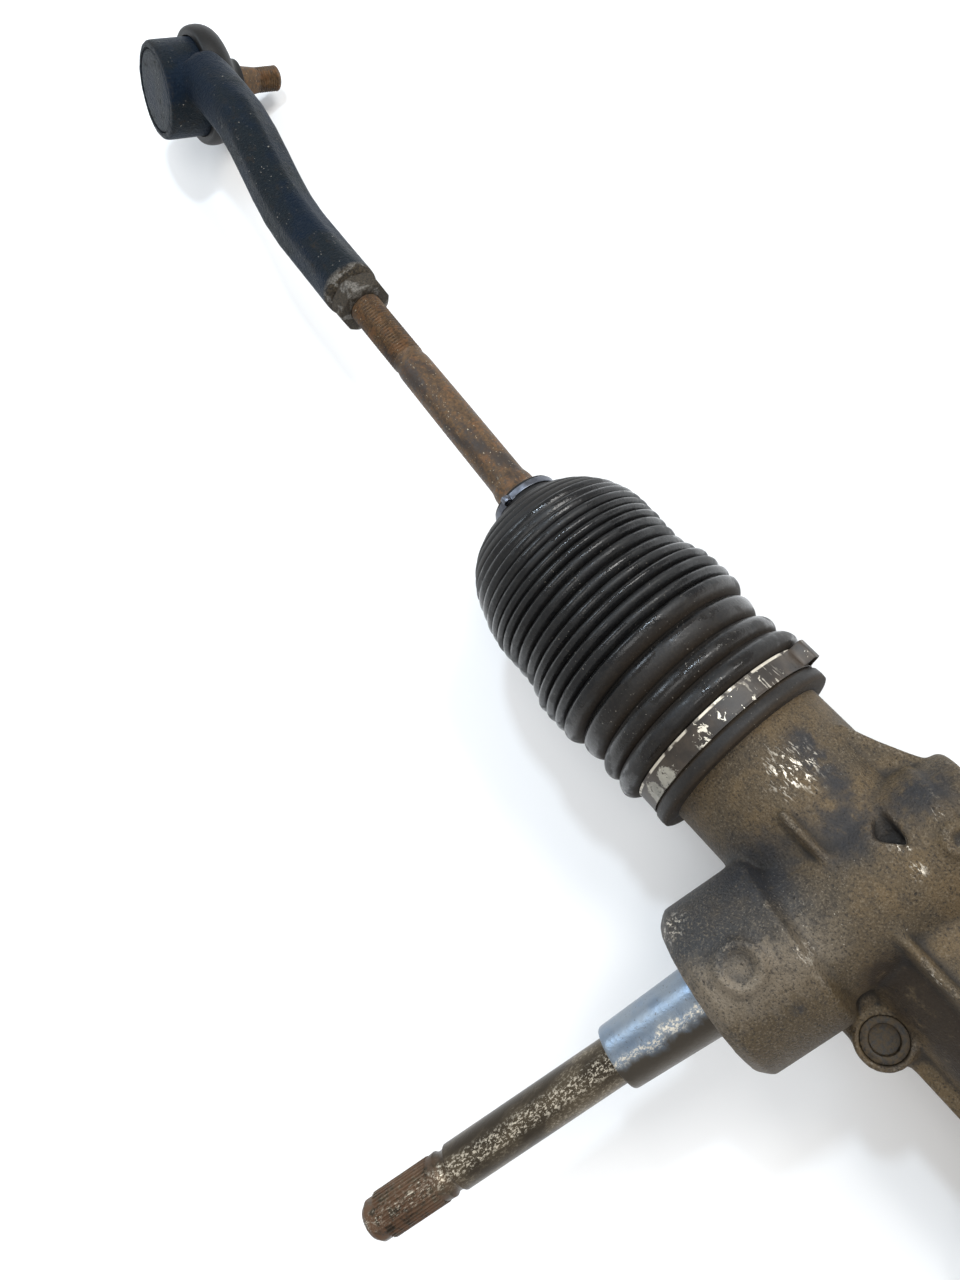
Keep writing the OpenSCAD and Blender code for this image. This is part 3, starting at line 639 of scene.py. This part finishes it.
def strap_metal():
    """Brown-black painted strip with bright chips, a painted highlight along the rolled edge, scratches and
    bare patches.
    """
    s = Shader("strap_metal", 0.42, 0.2)
    cloud = s.noise(8, 4, 0.6)
    flakes = s.noise(4.0, 4, 0.68, stretch=(1, 1.4, 1), warp=0.9)
    colour = s.mix(s.step(cloud, 0.35, 0.65), (0.019, 0.014, 0.010), (0.046, 0.033, 0.022))
    chipped = s.times(s.near(STRAP_CHIPS, 0.5, 0.7), s.step(flakes, 0.565, 0.58))
    chipped = s.maths("ADD", chipped, s.step(flakes, 0.67, 0.685))
    strokes = s.step(s.noise(1.5, 2, 0.5, stretch=(0.30, 1.8, 1.8)), 0.60, 0.64)
    scratched = s.times(s.near(STRAP_SCRATCHES, 0.6, 0.6), strokes)
    pits = s.step(s.noise(2.2, 4, 0.7, warp=0.4), 0.42, 0.38)
    patch = s.times(s.near(STRAP_PATCHES, 0.15, 1.0), s.maths("SUBTRACT", 1.0, pits))
    # painted highlight: the rolled edge made bright, as bare metal
    edge = s.times(s.attribute("edge"), s.step(s.noise(9, 3, 0.6), 0.40, 0.50))
    bright = s.maths("ADD", s.maths("ADD", chipped, s.times(scratched, 0.45)), s.times(edge, 0.8))
    colour = s.mix(patch, colour, s.mix(s.step(cloud, 0.4, 0.6), (0.17, 0.16, 0.13), (0.30, 0.28, 0.23)))
    colour = s.mix(bright, colour, (0.78, 0.72, 0.60))
    bare = s.maths("ADD", bright, patch)
    s.bumps((s.maths("SUBTRACT", 1.0, bare), 0.09), (s.noise(2.5, 3, 0.6), 0.10))
    return s.finish(colour, s.step(bare, 0, 1, 0.46, 0.38), s.step(bright, 0, 1, 0.05, 0.6))


def nylon():
    """Natural nylon with a faint moulded grain."""
    s = Shader("nylon", 0.45)
    colour = s.mix(s.noise(6, 3, 0.6), (0.72, 0.69, 0.60), (0.85, 0.82, 0.74))
    s.bumps((s.noise(0.8, 2, 0.6), 0.03))
    return s.finish(colour)


def brown_plug():
    """Steel plug caked with old oil and dust."""
    s = Shader("brown_plug", 0.6, 0.2)
    grit = s.noise(1.4, 4, 0.7)
    colour = s.mix(s.step(grit, 0.35, 0.65), (0.012, 0.008, 0.004), (0.060, 0.040, 0.019))
    s.bumps((grit, 0.25))
    return s.finish(colour, s.step(grit, 0.3, 0.7, 0.45, 0.75))


# stains, painted shade and scrapes of the castings: centre in the row frame and radius, in millimetres
DARK_STAINS = [
    ((-260, 15, 82), 8),
    ((-252, 14, 83), 8),
    ((-244, 14, 84), 8),
    ((-241, -24, 85), 20),
    ((-232, 4, 86), 16),
    ((-222, 18, 80), 17),
    ((-214, 34, 76), 14),
    ((-224, 30, 84), 14),
    ((-204, -41, 93), 3.5),
    ((-178, -30, 60), 12),
    ((60, 10, 78), 40),
    ((150, -8, 78), 36),
]
# painted shade in the valley below the rib on the tube's -Y side
RIB_VALLEY_SHADE = [((-196, -15, 78), 12), ((-182, -17, 76), 16), ((-164, -17, 75), 18), ((-146, -16, 73), 20)]
BARE_SCRAPES = [
    ((-256, 6, 85), 12),
    ((-218, 13.4, 91), 4.5),
    ((-211, 11.6, 90), 4.5),
    ((-219, 27, 92), 3),
    ((-214, -26, 97), 6),
    ((-247, -54, 87), 8),
    ((-186, -7, 88), 4),
    ((190, 4, 84), 12),
]
STRAP_PATCHES = [((-280, -24, 82), 4.5), ((-280, -30, 74), 5.0)]
STRAP_CHIPS = [((-281, 8, 90), 9), ((-281, -4, 91), 7)]
STRAP_SCRATCHES = [((-281, 20, 85), 9)]

MATERIALS = {
    "cast_aluminium": cast_aluminium(),
    "clean_aluminium": clean_aluminium(),
    "dark_steel": dark_steel(),
    "ground_steel": steel("ground_steel", (0.30, 0.29, 0.28), (0.55, 0.55, 0.56), 0.26),
    "bearing_steel": steel("bearing_steel", (0.50, 0.51, 0.53), (0.72, 0.73, 0.75), 0.16),
    "black_rubber": black_rubber(),
    "black_paint": black_paint(),
    "rusty_steel": rusty_steel(),
    "worn_nut": worn_nut(),
    "strap_metal": strap_metal(),
    "nylon": nylon(),
    "spring_steel": steel("spring_steel", (0.06, 0.065, 0.075), (0.16, 0.17, 0.20), 0.34),
    "zinc_steel": steel("zinc_steel", (0.30, 0.29, 0.27), (0.52, 0.51, 0.48), 0.36),
    "brown_plug": brown_plug(),
}
SLOT_OF = {part["node"]: part["material_slot"] for part in frame["record"]["subparts"]}


def paint_frame():
    """Every CAD node gets its slot's material."""
    for node, piece in frame["nodes"].items():
        finish_surface(piece, MATERIALS[SLOT_OF[node]])


# ---- housing ----

CASTING_VOXEL = 0.85
BOLTS = MOUNTS["mounting_bolts"]["dims"]
BOLT_PLACES = [
    row_point(x * BOLTS["spacing_x_mm"] / 2, y * BOLTS["spacing_y_mm"] / 2, 0)
    for x in (-1, 1)
    for y in (-1, 1)
]
CAST_LUMPS = [
    # start and end in the row frame, radius, in millimetres
    ((-193, -21, 60), (-190, -31, 59), 5.0),
    ((-195, -24, 50), (-191, -30, 50), 6.0),
]
BORES = [
    # origin, axis, radius, from, to: machined holes whose walls keep their size, in millimetres
    *[(place, UP, 12.0, -1, 27) for place in BOLT_PLACES],
    (row_point(-180, -31, 0), UP, 8.6, 54, 70),
    (Vector((0, 0, RACK_HEIGHT)), Vector((1, 0, 0)), 24.0, -290, 220),
    (PINION_CENTRE, PINION_AXIS, 18.4, -45, 64.5),
    (Vector((PINION_CENTRE.x, 0, 0)), UP, 18.0, 5, 40),
]


def surface_ring(radius, wire, centre_along, turn, drum_radius):
    """A ring mark that lies on the pinion tower: its points follow the drum."""
    place = placed(PINION_CENTRE, PINION_AXIS)
    rings = []
    for a in np.linspace(0, 2 * math.pi, 40, endpoint=False):
        along = centre_along + radius * math.sin(a)
        swing = turn + radius * math.cos(a) / drum_radius
        out = np.array((math.sin(swing), math.cos(swing), 0))
        side = np.array((math.cos(swing), -math.sin(swing), 0))
        middle = out * (drum_radius + 0.1) + np.array((0, 0, along))
        radial = side * math.cos(a) + np.array((0, 0, math.sin(a)))
        section = np.arange(8) * math.pi / 4
        rings.append([middle + wire * (radial * math.cos(b) + out * math.sin(b)) for b in section])
    points = moved(place, np.array(rings)).reshape(-1, 3)
    return mesh_object("mark", points, ring_faces(len(rings), 8, True), MATERIALS["cast_aluminium"])


def lumps():
    """Small cast shapes that close the notch between the tower and the lower boss."""
    made = []
    for start, end, radius in CAST_LUMPS:
        run = Vector(end) - Vector(start)
        tip = run.length + radius
        corners = [(0.1, -radius, 0), (radius, -radius, radius), (radius * 0.7, tip, radius), (0.1, tip, 0)]
        outline = rounded(corners)
        place = placed(row_point(*start), run)
        made.append(lathe("lump", place, outline, MATERIALS["cast_aluminium"], sides=24))
    return made


def housing():
    """The casting: the CAD body with fillets in its inside corners, rounded edges and cast-in marks."""
    piece = welded_copy("rack_housing", "housing_casting")
    tower_mark = surface_ring(6.6, 1.5, 46, -0.08, 30.0)
    barrel_mark = surface_ring(4.2, 1.5, -27, 0.1, 24.6)
    joined(piece, [tower_mark, barrel_mark, *lumps()])
    remeshed(piece, CASTING_VOXEL)
    points = coordinates(piece.data)
    free = np.ones(len(points))
    for origin, axis, radius, start, end in BORES:
        away, along = axis_distance(points, origin, axis)
        free[(away < radius) & (along > start) & (along < end)] = 0
    relaxed(piece, 20, free, hollows_only=True)
    relaxed(piece, 4, free, hollows_only=False)
    mark_crests(piece, 2, 0.06)
    finish_surface(piece, MATERIALS["cast_aluminium"], 60)
    show(piece, "housing", "rack_housing")


# ---- pinion tower ----


def pinion_collar():
    """Turned aluminium cover with its long snout."""
    place = placed(PINION_CENTRE, PINION_AXIS)
    outline = rounded(
        [(17.5, 48, 0.3), (17.5, 63, 0.8), (12.5, 63.1, 0.5), (12.1, 66, 0), (10.95, 99, 1.5),
         (9.8, 99, 0.3), (9.8, 94, 0), (8.95, 94, 0), (8.95, 48, 0.3)],
        loop=True,
    )
    piece = lathe("pinion_collar", place, outline, MATERIALS["clean_aluminium"], loop=True, sides=128)
    show(piece, "housing", "pinion_cover")


# ---- bellows ----

BOOT_LIP = 17
BODY_START = 17
SEAM_A = 91.6
SPLIT_A = 109.4
BALL_A = 50
BOOT_END = 131.4
BOOT_SKIN = 2.4
BOOT_SAG = 0.8
DUSTY_END = 47.5
# folds of the stored near bellows: crest and end distance from the lip, crest radius, next valley's radius
FOLDS = [
    (19.8, 25.2, 40.1, 34.8),
    (28.8, 33.6, 38.9, 33.6),
    (40.0, 43.8, 38.5, 34.4),
    (48.8, 51.0, 40.7, 37.0),
    (53.6, 55.8, 40.8, 36.8),
    (58.4, 60.7, 40.7, 36.6),
    (63.0, 65.1, 40.4, 35.8),
    (67.6, 69.9, 39.1, 34.2),
    (72.6, 75.0, 37.8, 33.8),
    (77.8, 80.0, 37.7, 34.0),
    (82.4, 84.6, 37.7, 34.4),
    (86.4, 88.2, 37.7, 35.2),
    (89.9, 91.6, 37.7, 35.4),
    (93.4, 95.0, 37.5, 35.2),
    (97.0, 98.8, 37.1, 34.9),
    (100.8, 102.4, 36.3, 34.2),
    (104.3, 106.0, 35.0, 33.1),
    (107.8, 109.4, 33.6, 32.0),
]
LIP = [(2.5, 32.4), (2.5, 36.2), (2.9, 36.8), (4.8, 37.0), (7.0, 36.8), (7.8, 36.2), (8.1, 34.9),
       (16.8, 34.9)]
DOME = [(109.8, 32.7), (112, 31.4), (115, 29.2), (117, 27.2), (119, 24.8), (120, 23.4), (121, 21.7),
        (122, 19.9), (123, 18.0), (124, 15.9), (125, 14.6)]
CUFF = [(126.4, 13.6), (127.1, 13.3), (127.3, 12.4), (130.1, 12.4), (130.3, 13.0), (131.0, 12.8),
        (131.4, 12.0), (131.4, 7.4)]


def bellows_outline():
    """(distance from the lip, radius, dust, oil and shade) along the outside of the stored near bellows; a
    low oil and shade value means painted shade.
    """
    outline = [(a, r, 0.25 if 3 < a < 7.5 else 0.9, 0.5) for a, r in LIP]
    start, floor = LIP[-1]
    for crest_a, end, crest, valley in FOLDS:
        for t in np.linspace(-0.98, 0.98, 17):
            swell = math.sqrt(1 - t * t)
            base = floor + (valley - floor) * (t + 1) / 2
            a = crest_a + t * (crest_a - start if t < 0 else end - crest_a)
            dusty = 1.0 if a < DUSTY_END else 0.12
            dust = dusty * (1.15 - swell if t < 0.3 else 0.9 - swell)
            # the fold's swell gives gloss from oil on the crests and painted shade towards the valleys
            outline.append((a, base + (crest - base) * swell, np.clip(dust, 0.04, 1), swell))
        start, floor = end, valley
    distance, radius = zip(*DOME)
    for a in np.arange(DOME[0][0], DOME[-1][0], 0.3):
        groove = abs(math.sin(math.pi * (a - SPLIT_A) / 3.2)) ** 0.5
        depth = 0.8 * np.clip((121 - a) / 3, 0, 1)
        outline.append((a, np.interp(a, distance, radius) - depth * (1 - groove), 0.3, 0.3 * groove))
    outline += [(a, r, 0.45, 0.1) for a, r in CUFF]
    return np.array(outline)


def stretched(a, side):
    """Distance from the lip on the named side: the far bellows is drawn out."""
    place = PLACES[side]
    room = ((place["inner"] - place["neck"]).dot(place["outward"])) / MM + BOOT_LIP - BODY_START
    stretch = (room - (BALL_A - SEAM_A)) / (SEAM_A - BODY_START)
    folds = BODY_START + (a - BODY_START) * stretch
    beyond = a - SEAM_A + BODY_START + (SEAM_A - BODY_START) * stretch
    return np.where(a < BODY_START, a, np.where(a < SEAM_A, folds, beyond))


def smooth(t):
    t = np.clip(t, 0, 1)
    return t * t * (3 - 2 * t)


def bellows_ring(side, past_ball, radius, angle):
    """One ring of a bellows. The folds stay on the rack's axis, and the cuff is on the tie rod's.
    In between the centre goes over in two easy steps, and the middle of the bellows sags to -Y."""
    place = PLACES[side]
    follow = 0.5 * smooth((past_ball - 24) / 36) + 0.5 * smooth((past_ball - 68) / 11)
    turn = smooth((past_ball - 30) / 45)
    matrix = placed(place["inner"], place["outward"].lerp(place["rod"], float(turn)))
    way = place["outward"].lerp(place["rod"], float(follow))
    matrix.translation = place["inner"] + way * past_ball * MM
    sag = BOOT_SAG * (1 - smooth((past_ball - 60) / 19)) * smooth((past_ball + 33) / 12)
    matrix.translation.y -= float(sag) * MM
    ring = np.stack([radius * np.cos(angle), radius * np.sin(angle), np.zeros_like(angle)], -1)
    return moved(matrix, ring)


def bellows_part(name, side, start, end, sides=128):
    """A closed skin between two distances from the lip."""
    whole = bellows_outline()
    outline = whole[(whole[:, 0] >= start) & (whole[:, 0] <= end)]
    if start > 0:
        outline = np.vstack([(start, np.interp(start, whole[:, 0], whole[:, 1]), 0.5, 0), outline])
    if end < BOOT_END:
        outline = np.vstack([outline, (end, np.interp(end, whole[:, 0], whole[:, 1]), 0.5, 0)])
    window = 7
    inside = [
        (outline[i, 0], max(outline[max(0, i - window) : i + window + 1, 1].min() - BOOT_SKIN, 7.3), 0.5, 0)
        for i in range(len(outline) - 1, -1, -5)
    ]
    inside[-1] = (outline[0, 0], inside[-1][1], 0.5, 0)
    closed = np.vstack([outline, inside])
    place = PLACES[side]
    ball_from_lip = (place["inner"] - place["neck"]).dot(place["outward"]) / MM + BOOT_LIP
    angle = np.linspace(0, 2 * math.pi, sides, endpoint=False)
    wobble = RANDOM.uniform(-1, 1, (len(FOLDS) + 2, 3))
    rings, dust, oil_and_shade = [], [], []
    for a, radius, dusty, oiliness_and_shade in closed:
        fold = int(np.searchsorted([f[1] for f in FOLDS], a))
        w = wobble[fold] * (0.25 if BODY_START < a < SPLIT_A else 0)
        shaken = radius + w[0] * np.cos(2 * angle + w[1] * 9) + 0.6 * w[2] * np.cos(3 * angle)
        rings.append(bellows_ring(side, float(stretched(a, side)) - ball_from_lip, shaken, angle))
        dust += [dusty] * sides
        oil_and_shade += [oiliness_and_shade] * sides
    points = np.array(rings).reshape(-1, 3)
    faces = ring_faces(len(rings), sides, True)
    piece = mesh_object(name, points, faces, MATERIALS["black_rubber"], {"dust": dust, "oil_and_shade": oil_and_shade})
    finish_surface(piece, MATERIALS["black_rubber"], 75)
    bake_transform(piece)
    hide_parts("bellows_" + side)


def bellows(side):
    """Three skins that meet ring to ring."""
    bellows_part("bellows_folds_" + side, side, 0, SEAM_A)
    bellows_part("bellows_dome_" + side, side, SEAM_A, SPLIT_A)
    bellows_part("bellows_cuff_" + side, side, SPLIT_A, BOOT_END)


def strap(side):
    """Clamp strap around the lip, with its crimped ear on the +Y side."""
    place = PLACES[side]
    matrix = placed(place["neck"] - place["outward"] * BOOT_LIP * MM, place["outward"])
    outline = rounded([(35.1, 8.5, 0.2), (36.3, 8.5, 0.3), (36.1, 9.4, 0.3), (36.1, 15.6, 0.3),
                       (36.35, 16.5, 0.3), (35.1, 16.5, 0.2)], loop=True)
    # points on the rolled edge, which the strap's material brightens as a painted highlight
    edge = np.repeat([1.0 if r > 35.6 and z > 15.5 else 0.0 for r, z in outline], 144)
    band = lathe("strap_band_" + side, matrix, outline, MATERIALS["strap_metal"], loop=True, sides=144,
                 attributes={"edge": edge})
    show(band, "housing", "bellows_strap_" + side)
    turn = Matrix.Rotation(math.radians(-75 * SIDES[side]), 4, "Z")
    ear_place = matrix @ turn @ Matrix.Translation((0, 0, 12.5))
    path = [(-11, 34.4), (-8, 35.3), (-5.2, 36.0), (-4.2, 37.2), (-3.8, 39.4), (-3.0, 40.6), (0, 41.0),
            (3.0, 40.6), (3.8, 39.4), (4.2, 37.2), (5.2, 36.0), (8, 35.3), (11, 34.4)]
    ear = ribbon("strap_ear_" + side, ear_place, path, 7.6, -0.9, MATERIALS["strap_metal"])
    show(ear, "housing", "bellows_strap_" + side)


def cuff_clip(side):
    """Spring clip on the small cuff, with a pinched tab."""
    place = PLACES[side]
    matrix = placed(place["inner"], place["rod"])
    outline = rounded([(12.5, 77.4, 0.2), (13.5, 77.4, 0.3), (13.5, 80, 0.3), (12.5, 80, 0.2)], loop=True)
    band = lathe("clip_band_" + side, matrix, outline, MATERIALS["spring_steel"], loop=True)
    show(band, "tie_rod_" + side, "bellows_clip_" + side)
    path = [(-3.4, 13.0), (-1.8, 13.4), (-1.4, 15.4), (0, 16.2), (1.4, 15.4), (1.8, 13.4), (3.4, 13.0)]
    turn = Matrix.Rotation(math.radians(SIDES[side] * 20), 4, "Z")
    tab = ribbon("clip_tab_" + side, matrix @ turn @ Matrix.Translation((0, 0, 78.5)), path, 2.6, -0.7,
                 MATERIALS["spring_steel"])
    show(tab, "tie_rod_" + side, "bellows_clip_" + side)


# ---- tie rods ----


def threaded(start, end, crest, depth, pitch, steps_per_turn=6):
    """Radius rule and distances of a helical thread that fades in and out over one turn."""
    along = np.arange(start, end, pitch / steps_per_turn)

    def shape(radius, distance, angle):
        turns = distance / pitch - angle / (2 * math.pi)
        groove = np.abs(2 * (turns - np.floor(turns)) - 1)
        fade = np.clip(np.minimum(distance - start, end - distance) / pitch, 0, 1)
        return np.where((distance > start) & (distance < end), crest - depth * (1 - groove) * fade, radius)

    return along, shape


def tie_rod(side):
    """Ball, necked shank, rolled thread and the collar that the cuff seals on."""
    place = PLACES[side]
    ball = [(12 * math.sin(t), -12 * math.cos(t)) for t in np.linspace(0.02, math.pi - 0.5, 26)]
    thread_start, rod_end = 165.0, 246.0
    along, shape = threaded(thread_start, rod_end - 1.5, 7.0, 0.85, 1.5)
    plain = rounded([(5.75, 12, 1), (5.75, 22, 2), (6.8, 26, 1), (6.8, 80.5, 0), (10.8, 81.6, 0.4),
                     (9.9, 82.6, 0.8), (8.5, 84.2, 0.8), (8.4, 88, 1.5), (7.5, 91, 2), (7.4, 130, 0),
                     (7.2, 160, 1), (6.5, 164, 0)])
    outline = np.vstack([ball, plain, [(6.9, a) for a in along], [(6.6, rod_end - 0.6), (5.6, rod_end)]])
    matrix = placed(place["inner"], place["rod"])
    piece = lathe("tie_rod_" + side, matrix, outline, MATERIALS["rusty_steel"], sides=48, shape=shape)
    show(piece, "tie_rod_" + side, "inner_tie_rod_" + side)


def centre_line(points, distance, spacing=4.0):
    """Middle of a bar's cross-sections at even distances along it."""
    stations = np.arange(distance.min(), distance.max(), spacing)
    middles = []
    for s in stations:
        near = points[np.abs(distance - s) < spacing / 2]
        middles.append((near.min(0) + near.max(0)) / 2)
    return stations, np.array(middles)


FORGING_VOXEL = 0.75
ARM_FROM, ARM_TO = 208.5, 346
FLAT_DEPTH = 11.3


def outer_end(side):
    """Forged arm and ball cup: flats along the arm, fillets into the cup, a bare worn end at the nut."""
    place = PLACES[side]
    node = "outer_end_" + side
    piece = welded_copy(node, "outer_forging_" + side)
    remeshed(piece, FORGING_VOXEL)
    matrix = placed(place["inner"], place["rod"])
    local = moved(matrix.inverted(), coordinates(piece.data))
    on_arm = (local[:, 2] > ARM_FROM - 1) & (local[:, 2] < ARM_TO - 6)
    stations, middles = centre_line(local[on_arm], local[on_arm, 2])
    middle = np.stack([np.interp(local[:, 2], stations, middles[:, k]) for k in range(2)], 1)
    weight = np.clip((local[:, 2] - ARM_FROM - 6) / 14, 0, 1)
    weight *= np.clip((ARM_TO - 14 - local[:, 2]) / 14, 0, 1)
    arm = local[:, :2] - middle
    for turn in np.arange(6) * math.pi / 3 + math.radians(8) * SIDES[side]:
        facing = np.array((math.sin(turn), math.cos(turn)))
        over = np.clip(arm @ facing - FLAT_DEPTH, 0, None) * weight
        local[:, :2] -= over[:, None] * facing
        arm = local[:, :2] - middle
    piece.data.vertices.foreach_set("co", moved(matrix, local).ravel())
    points = coordinates(piece.data)
    free = np.ones(len(points))
    away, along = axis_distance(points, place["outer"], place["stud"])
    free[(away < 18.9) & (along > -17)] = 0
    rod_away, rod_along = axis_distance(points, place["inner"], place["rod"])
    free[(rod_away < 8) & (rod_along < 252)] = 0
    relaxed(piece, 110, free, hollows_only=True)
    relaxed(piece, 8, free, hollows_only=False)
    on_cup = np.clip((local[:, 2] - ARM_TO + 10) / 12, 0, 1)
    relaxed(piece, 22, free * on_cup, hollows_only=False)
    mark_crests(piece, 2, 0.05)
    bare = np.clip((ARM_FROM + 7 - rod_along) / 3, 0, 1)
    bare_end = piece.data.attributes.new("bare_end", "FLOAT", "POINT")
    bare_end.data.foreach_set("value", bare.astype(np.float32))
    finish_surface(piece, MATERIALS["black_paint"], 60)
    show(piece, "tie_rod_" + side, node)


def outer_joint(side):
    """Cap, stud and dust boot of the outer ball joint."""
    place = PLACES[side]
    matrix = placed(place["outer"], place["stud"])
    cap = rounded([(0.4, -15.2, 0), (6.0, -15.25, 1), (12.2, -15.3, 1), (13.2, -15.2, 0.6),
                   (14.2, -15.25, 0.6), (17.6, -15.1, 0.8), (18.45, -14.5, 0.4), (18.48, -12.7, 0.1),
                   (0.4, -12.7, 0)])
    show(lathe("joint_cap_" + side, matrix, cap[::-1], MATERIALS["black_paint"]), "tie_rod_" + side,
         "outer_cap_" + side)
    ball = [(12 * math.sin(t), -12 * math.cos(t)) for t in np.linspace(0.02, math.pi - 0.55, 24)]
    along, shape = threaded(36.5, 47.6, 6.0, 0.75, 1.25)
    shank = rounded([(6, 12, 0.5), (6, 18.2, 0.6), (7.5, 20, 0.8), (7.5, 27, 0.5), (6.05, 36, 0.3)])
    outline = np.vstack([ball, shank, [(5.9, a) for a in along], [(5.5, 48.2), (4.6, 48.8), (2.5, 49.0)]])
    stud = lathe("ball_stud_" + side, matrix, outline, MATERIALS["rusty_steel"], sides=48, shape=shape)
    show(stud, "stud_" + side, "ball_stud_" + side)
    skin = rounded(
        [(22.35, 4.6, 0.3), (25.6, 4.7, 1.0), (26.7, 7.0, 2.0), (26.9, 11.5, 3), (25.0, 16.2, 3),
         (20.0, 19.4, 3), (14.5, 21.4, 2), (12.0, 23, 1), (10.9, 24.5, 0.8), (10.5, 27, 0.6),
         (7.85, 27, 0.3), (7.85, 22, 0.5), (9.5, 20.6, 1), (15.5, 17.6, 1), (21.5, 14.6, 1),
         (22.4, 13.4, 0.6)],
        loop=True,
    )
    dust = np.repeat([0.25 if z > 16 else 0.1 for _, z in skin], 96)
    # an oil and shade value of 0: no oily gloss, and painted shade all over the boot
    boot = lathe("dust_boot_" + side, matrix, skin, MATERIALS["black_rubber"], loop=True,
                 attributes={"dust": dust, "oil_and_shade": dust * 0})
    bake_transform(boot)
    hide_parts("dust_boot_" + side)


# ---- camera, light and floor ----


def camera():
    """The view of the pinion end from above, with the tie rod running to the upper left."""
    back = Vector((0.3568, 0.0897, 0.9299)).normalized()
    right = Vector((0.6263, 0.7156, -0.3094))
    right = (right - back * back.dot(right)).normalized()
    matrix = Matrix((right, back.cross(right), back)).transposed().to_4x4()
    matrix.translation = row_point(-222.5, -4.5, 439.8)
    lens = bpy.data.cameras.new("camera")
    lens.lens = 30.94
    lens.sensor_width = 36
    lens.clip_start = 0.02
    made = bpy.data.objects.new("camera", lens)
    made.matrix_world = matrix
    bpy.context.scene.collection.objects.link(made)
    bpy.context.scene.camera = made


def area_light(name, place, target, size, power, colour):
    """A soft square light at a place, facing a target."""
    data = bpy.data.lights.new(name, "AREA")
    data.size = size
    data.energy = power
    data.color = colour
    light = bpy.data.objects.new(name, data)
    light.matrix_world = placed(place, Vector(place) - Vector(target), Vector((0.1, 1, 0.2)))
    light.scale = (1, 1, 1)
    bpy.context.scene.collection.objects.link(light)


def studio():
    """Pale floor, even surroundings, and four soft lights: a large warm one from behind, a cool one
    from the left, one above, and a small one that puts a sheen on the bellows."""
    s = Shader("floor", 0.9)
    floor_colour = s.mix(s.noise(400, 2), (0.90, 0.90, 0.90), (0.92, 0.92, 0.92))
    points = [(-6, -6, 0), (6, -6, 0), (6, 6, 0), (-6, 6, 0)]
    floor = mesh_object("floor", points, [(0, 1, 2, 3)], s.finish(floor_colour, Specular_IOR_Level=0.1))
    world = bpy.data.worlds.new("surroundings")
    world.use_nodes = True
    world.node_tree.nodes["Background"].inputs["Color"].default_value = (1.0, 1.0, 1.0, 1)
    world.node_tree.nodes["Background"].inputs["Strength"].default_value = 0.70
    bpy.context.scene.world = world
    target = PINION_CENTRE
    area_light("key", (-0.25, 1.15, 1.35), target, 0.6, 17, (1.0, 0.985, 0.96))
    area_light("cool", (-1.5, -0.25, 1.0), target, 0.5, 6, (0.74, 0.87, 1.0))
    area_light("top", (0.15, -0.1, 2.0), target, 1.0, 9, (1.0, 0.99, 0.97))
    area_light("sheen", (-0.66, 0.40, 1.13), PLACES["left"]["inner"], 0.09, 4.0, (0.72, 0.86, 1.0))
    bpy.context.scene.view_settings.view_transform = "Standard"


# ---- assembly ----

# CAD nodes that show as they are, with their edges broken by this many millimetres
BROKEN_EDGES = {
    "pinion_shaft": 0.15,
    "lower_plug": 0.5,
    "yoke_adjuster": 0.5,
    "yoke_lock_nut": 0.5,
    "blanking_plug": 0.4,
    "mount_rubbers": 0.5,
    "mount_sleeves": 0.3,
}

camera()
studio()
paint_frame()
housing()
pinion_collar()
for side_name in SIDES:
    bellows(side_name)
    strap(side_name)
    cuff_clip(side_name)
    tie_rod(side_name)
    outer_end(side_name)
    outer_joint(side_name)
    edged_copy("jam_nut_" + side_name, "lock_nut_" + side_name, 0.5, MATERIALS["worn_nut"])
for node_name, width_mm in BROKEN_EDGES.items():
    edged_copy(node_name, node_name + "_piece", width_mm, MATERIALS[SLOT_OF[node_name]])
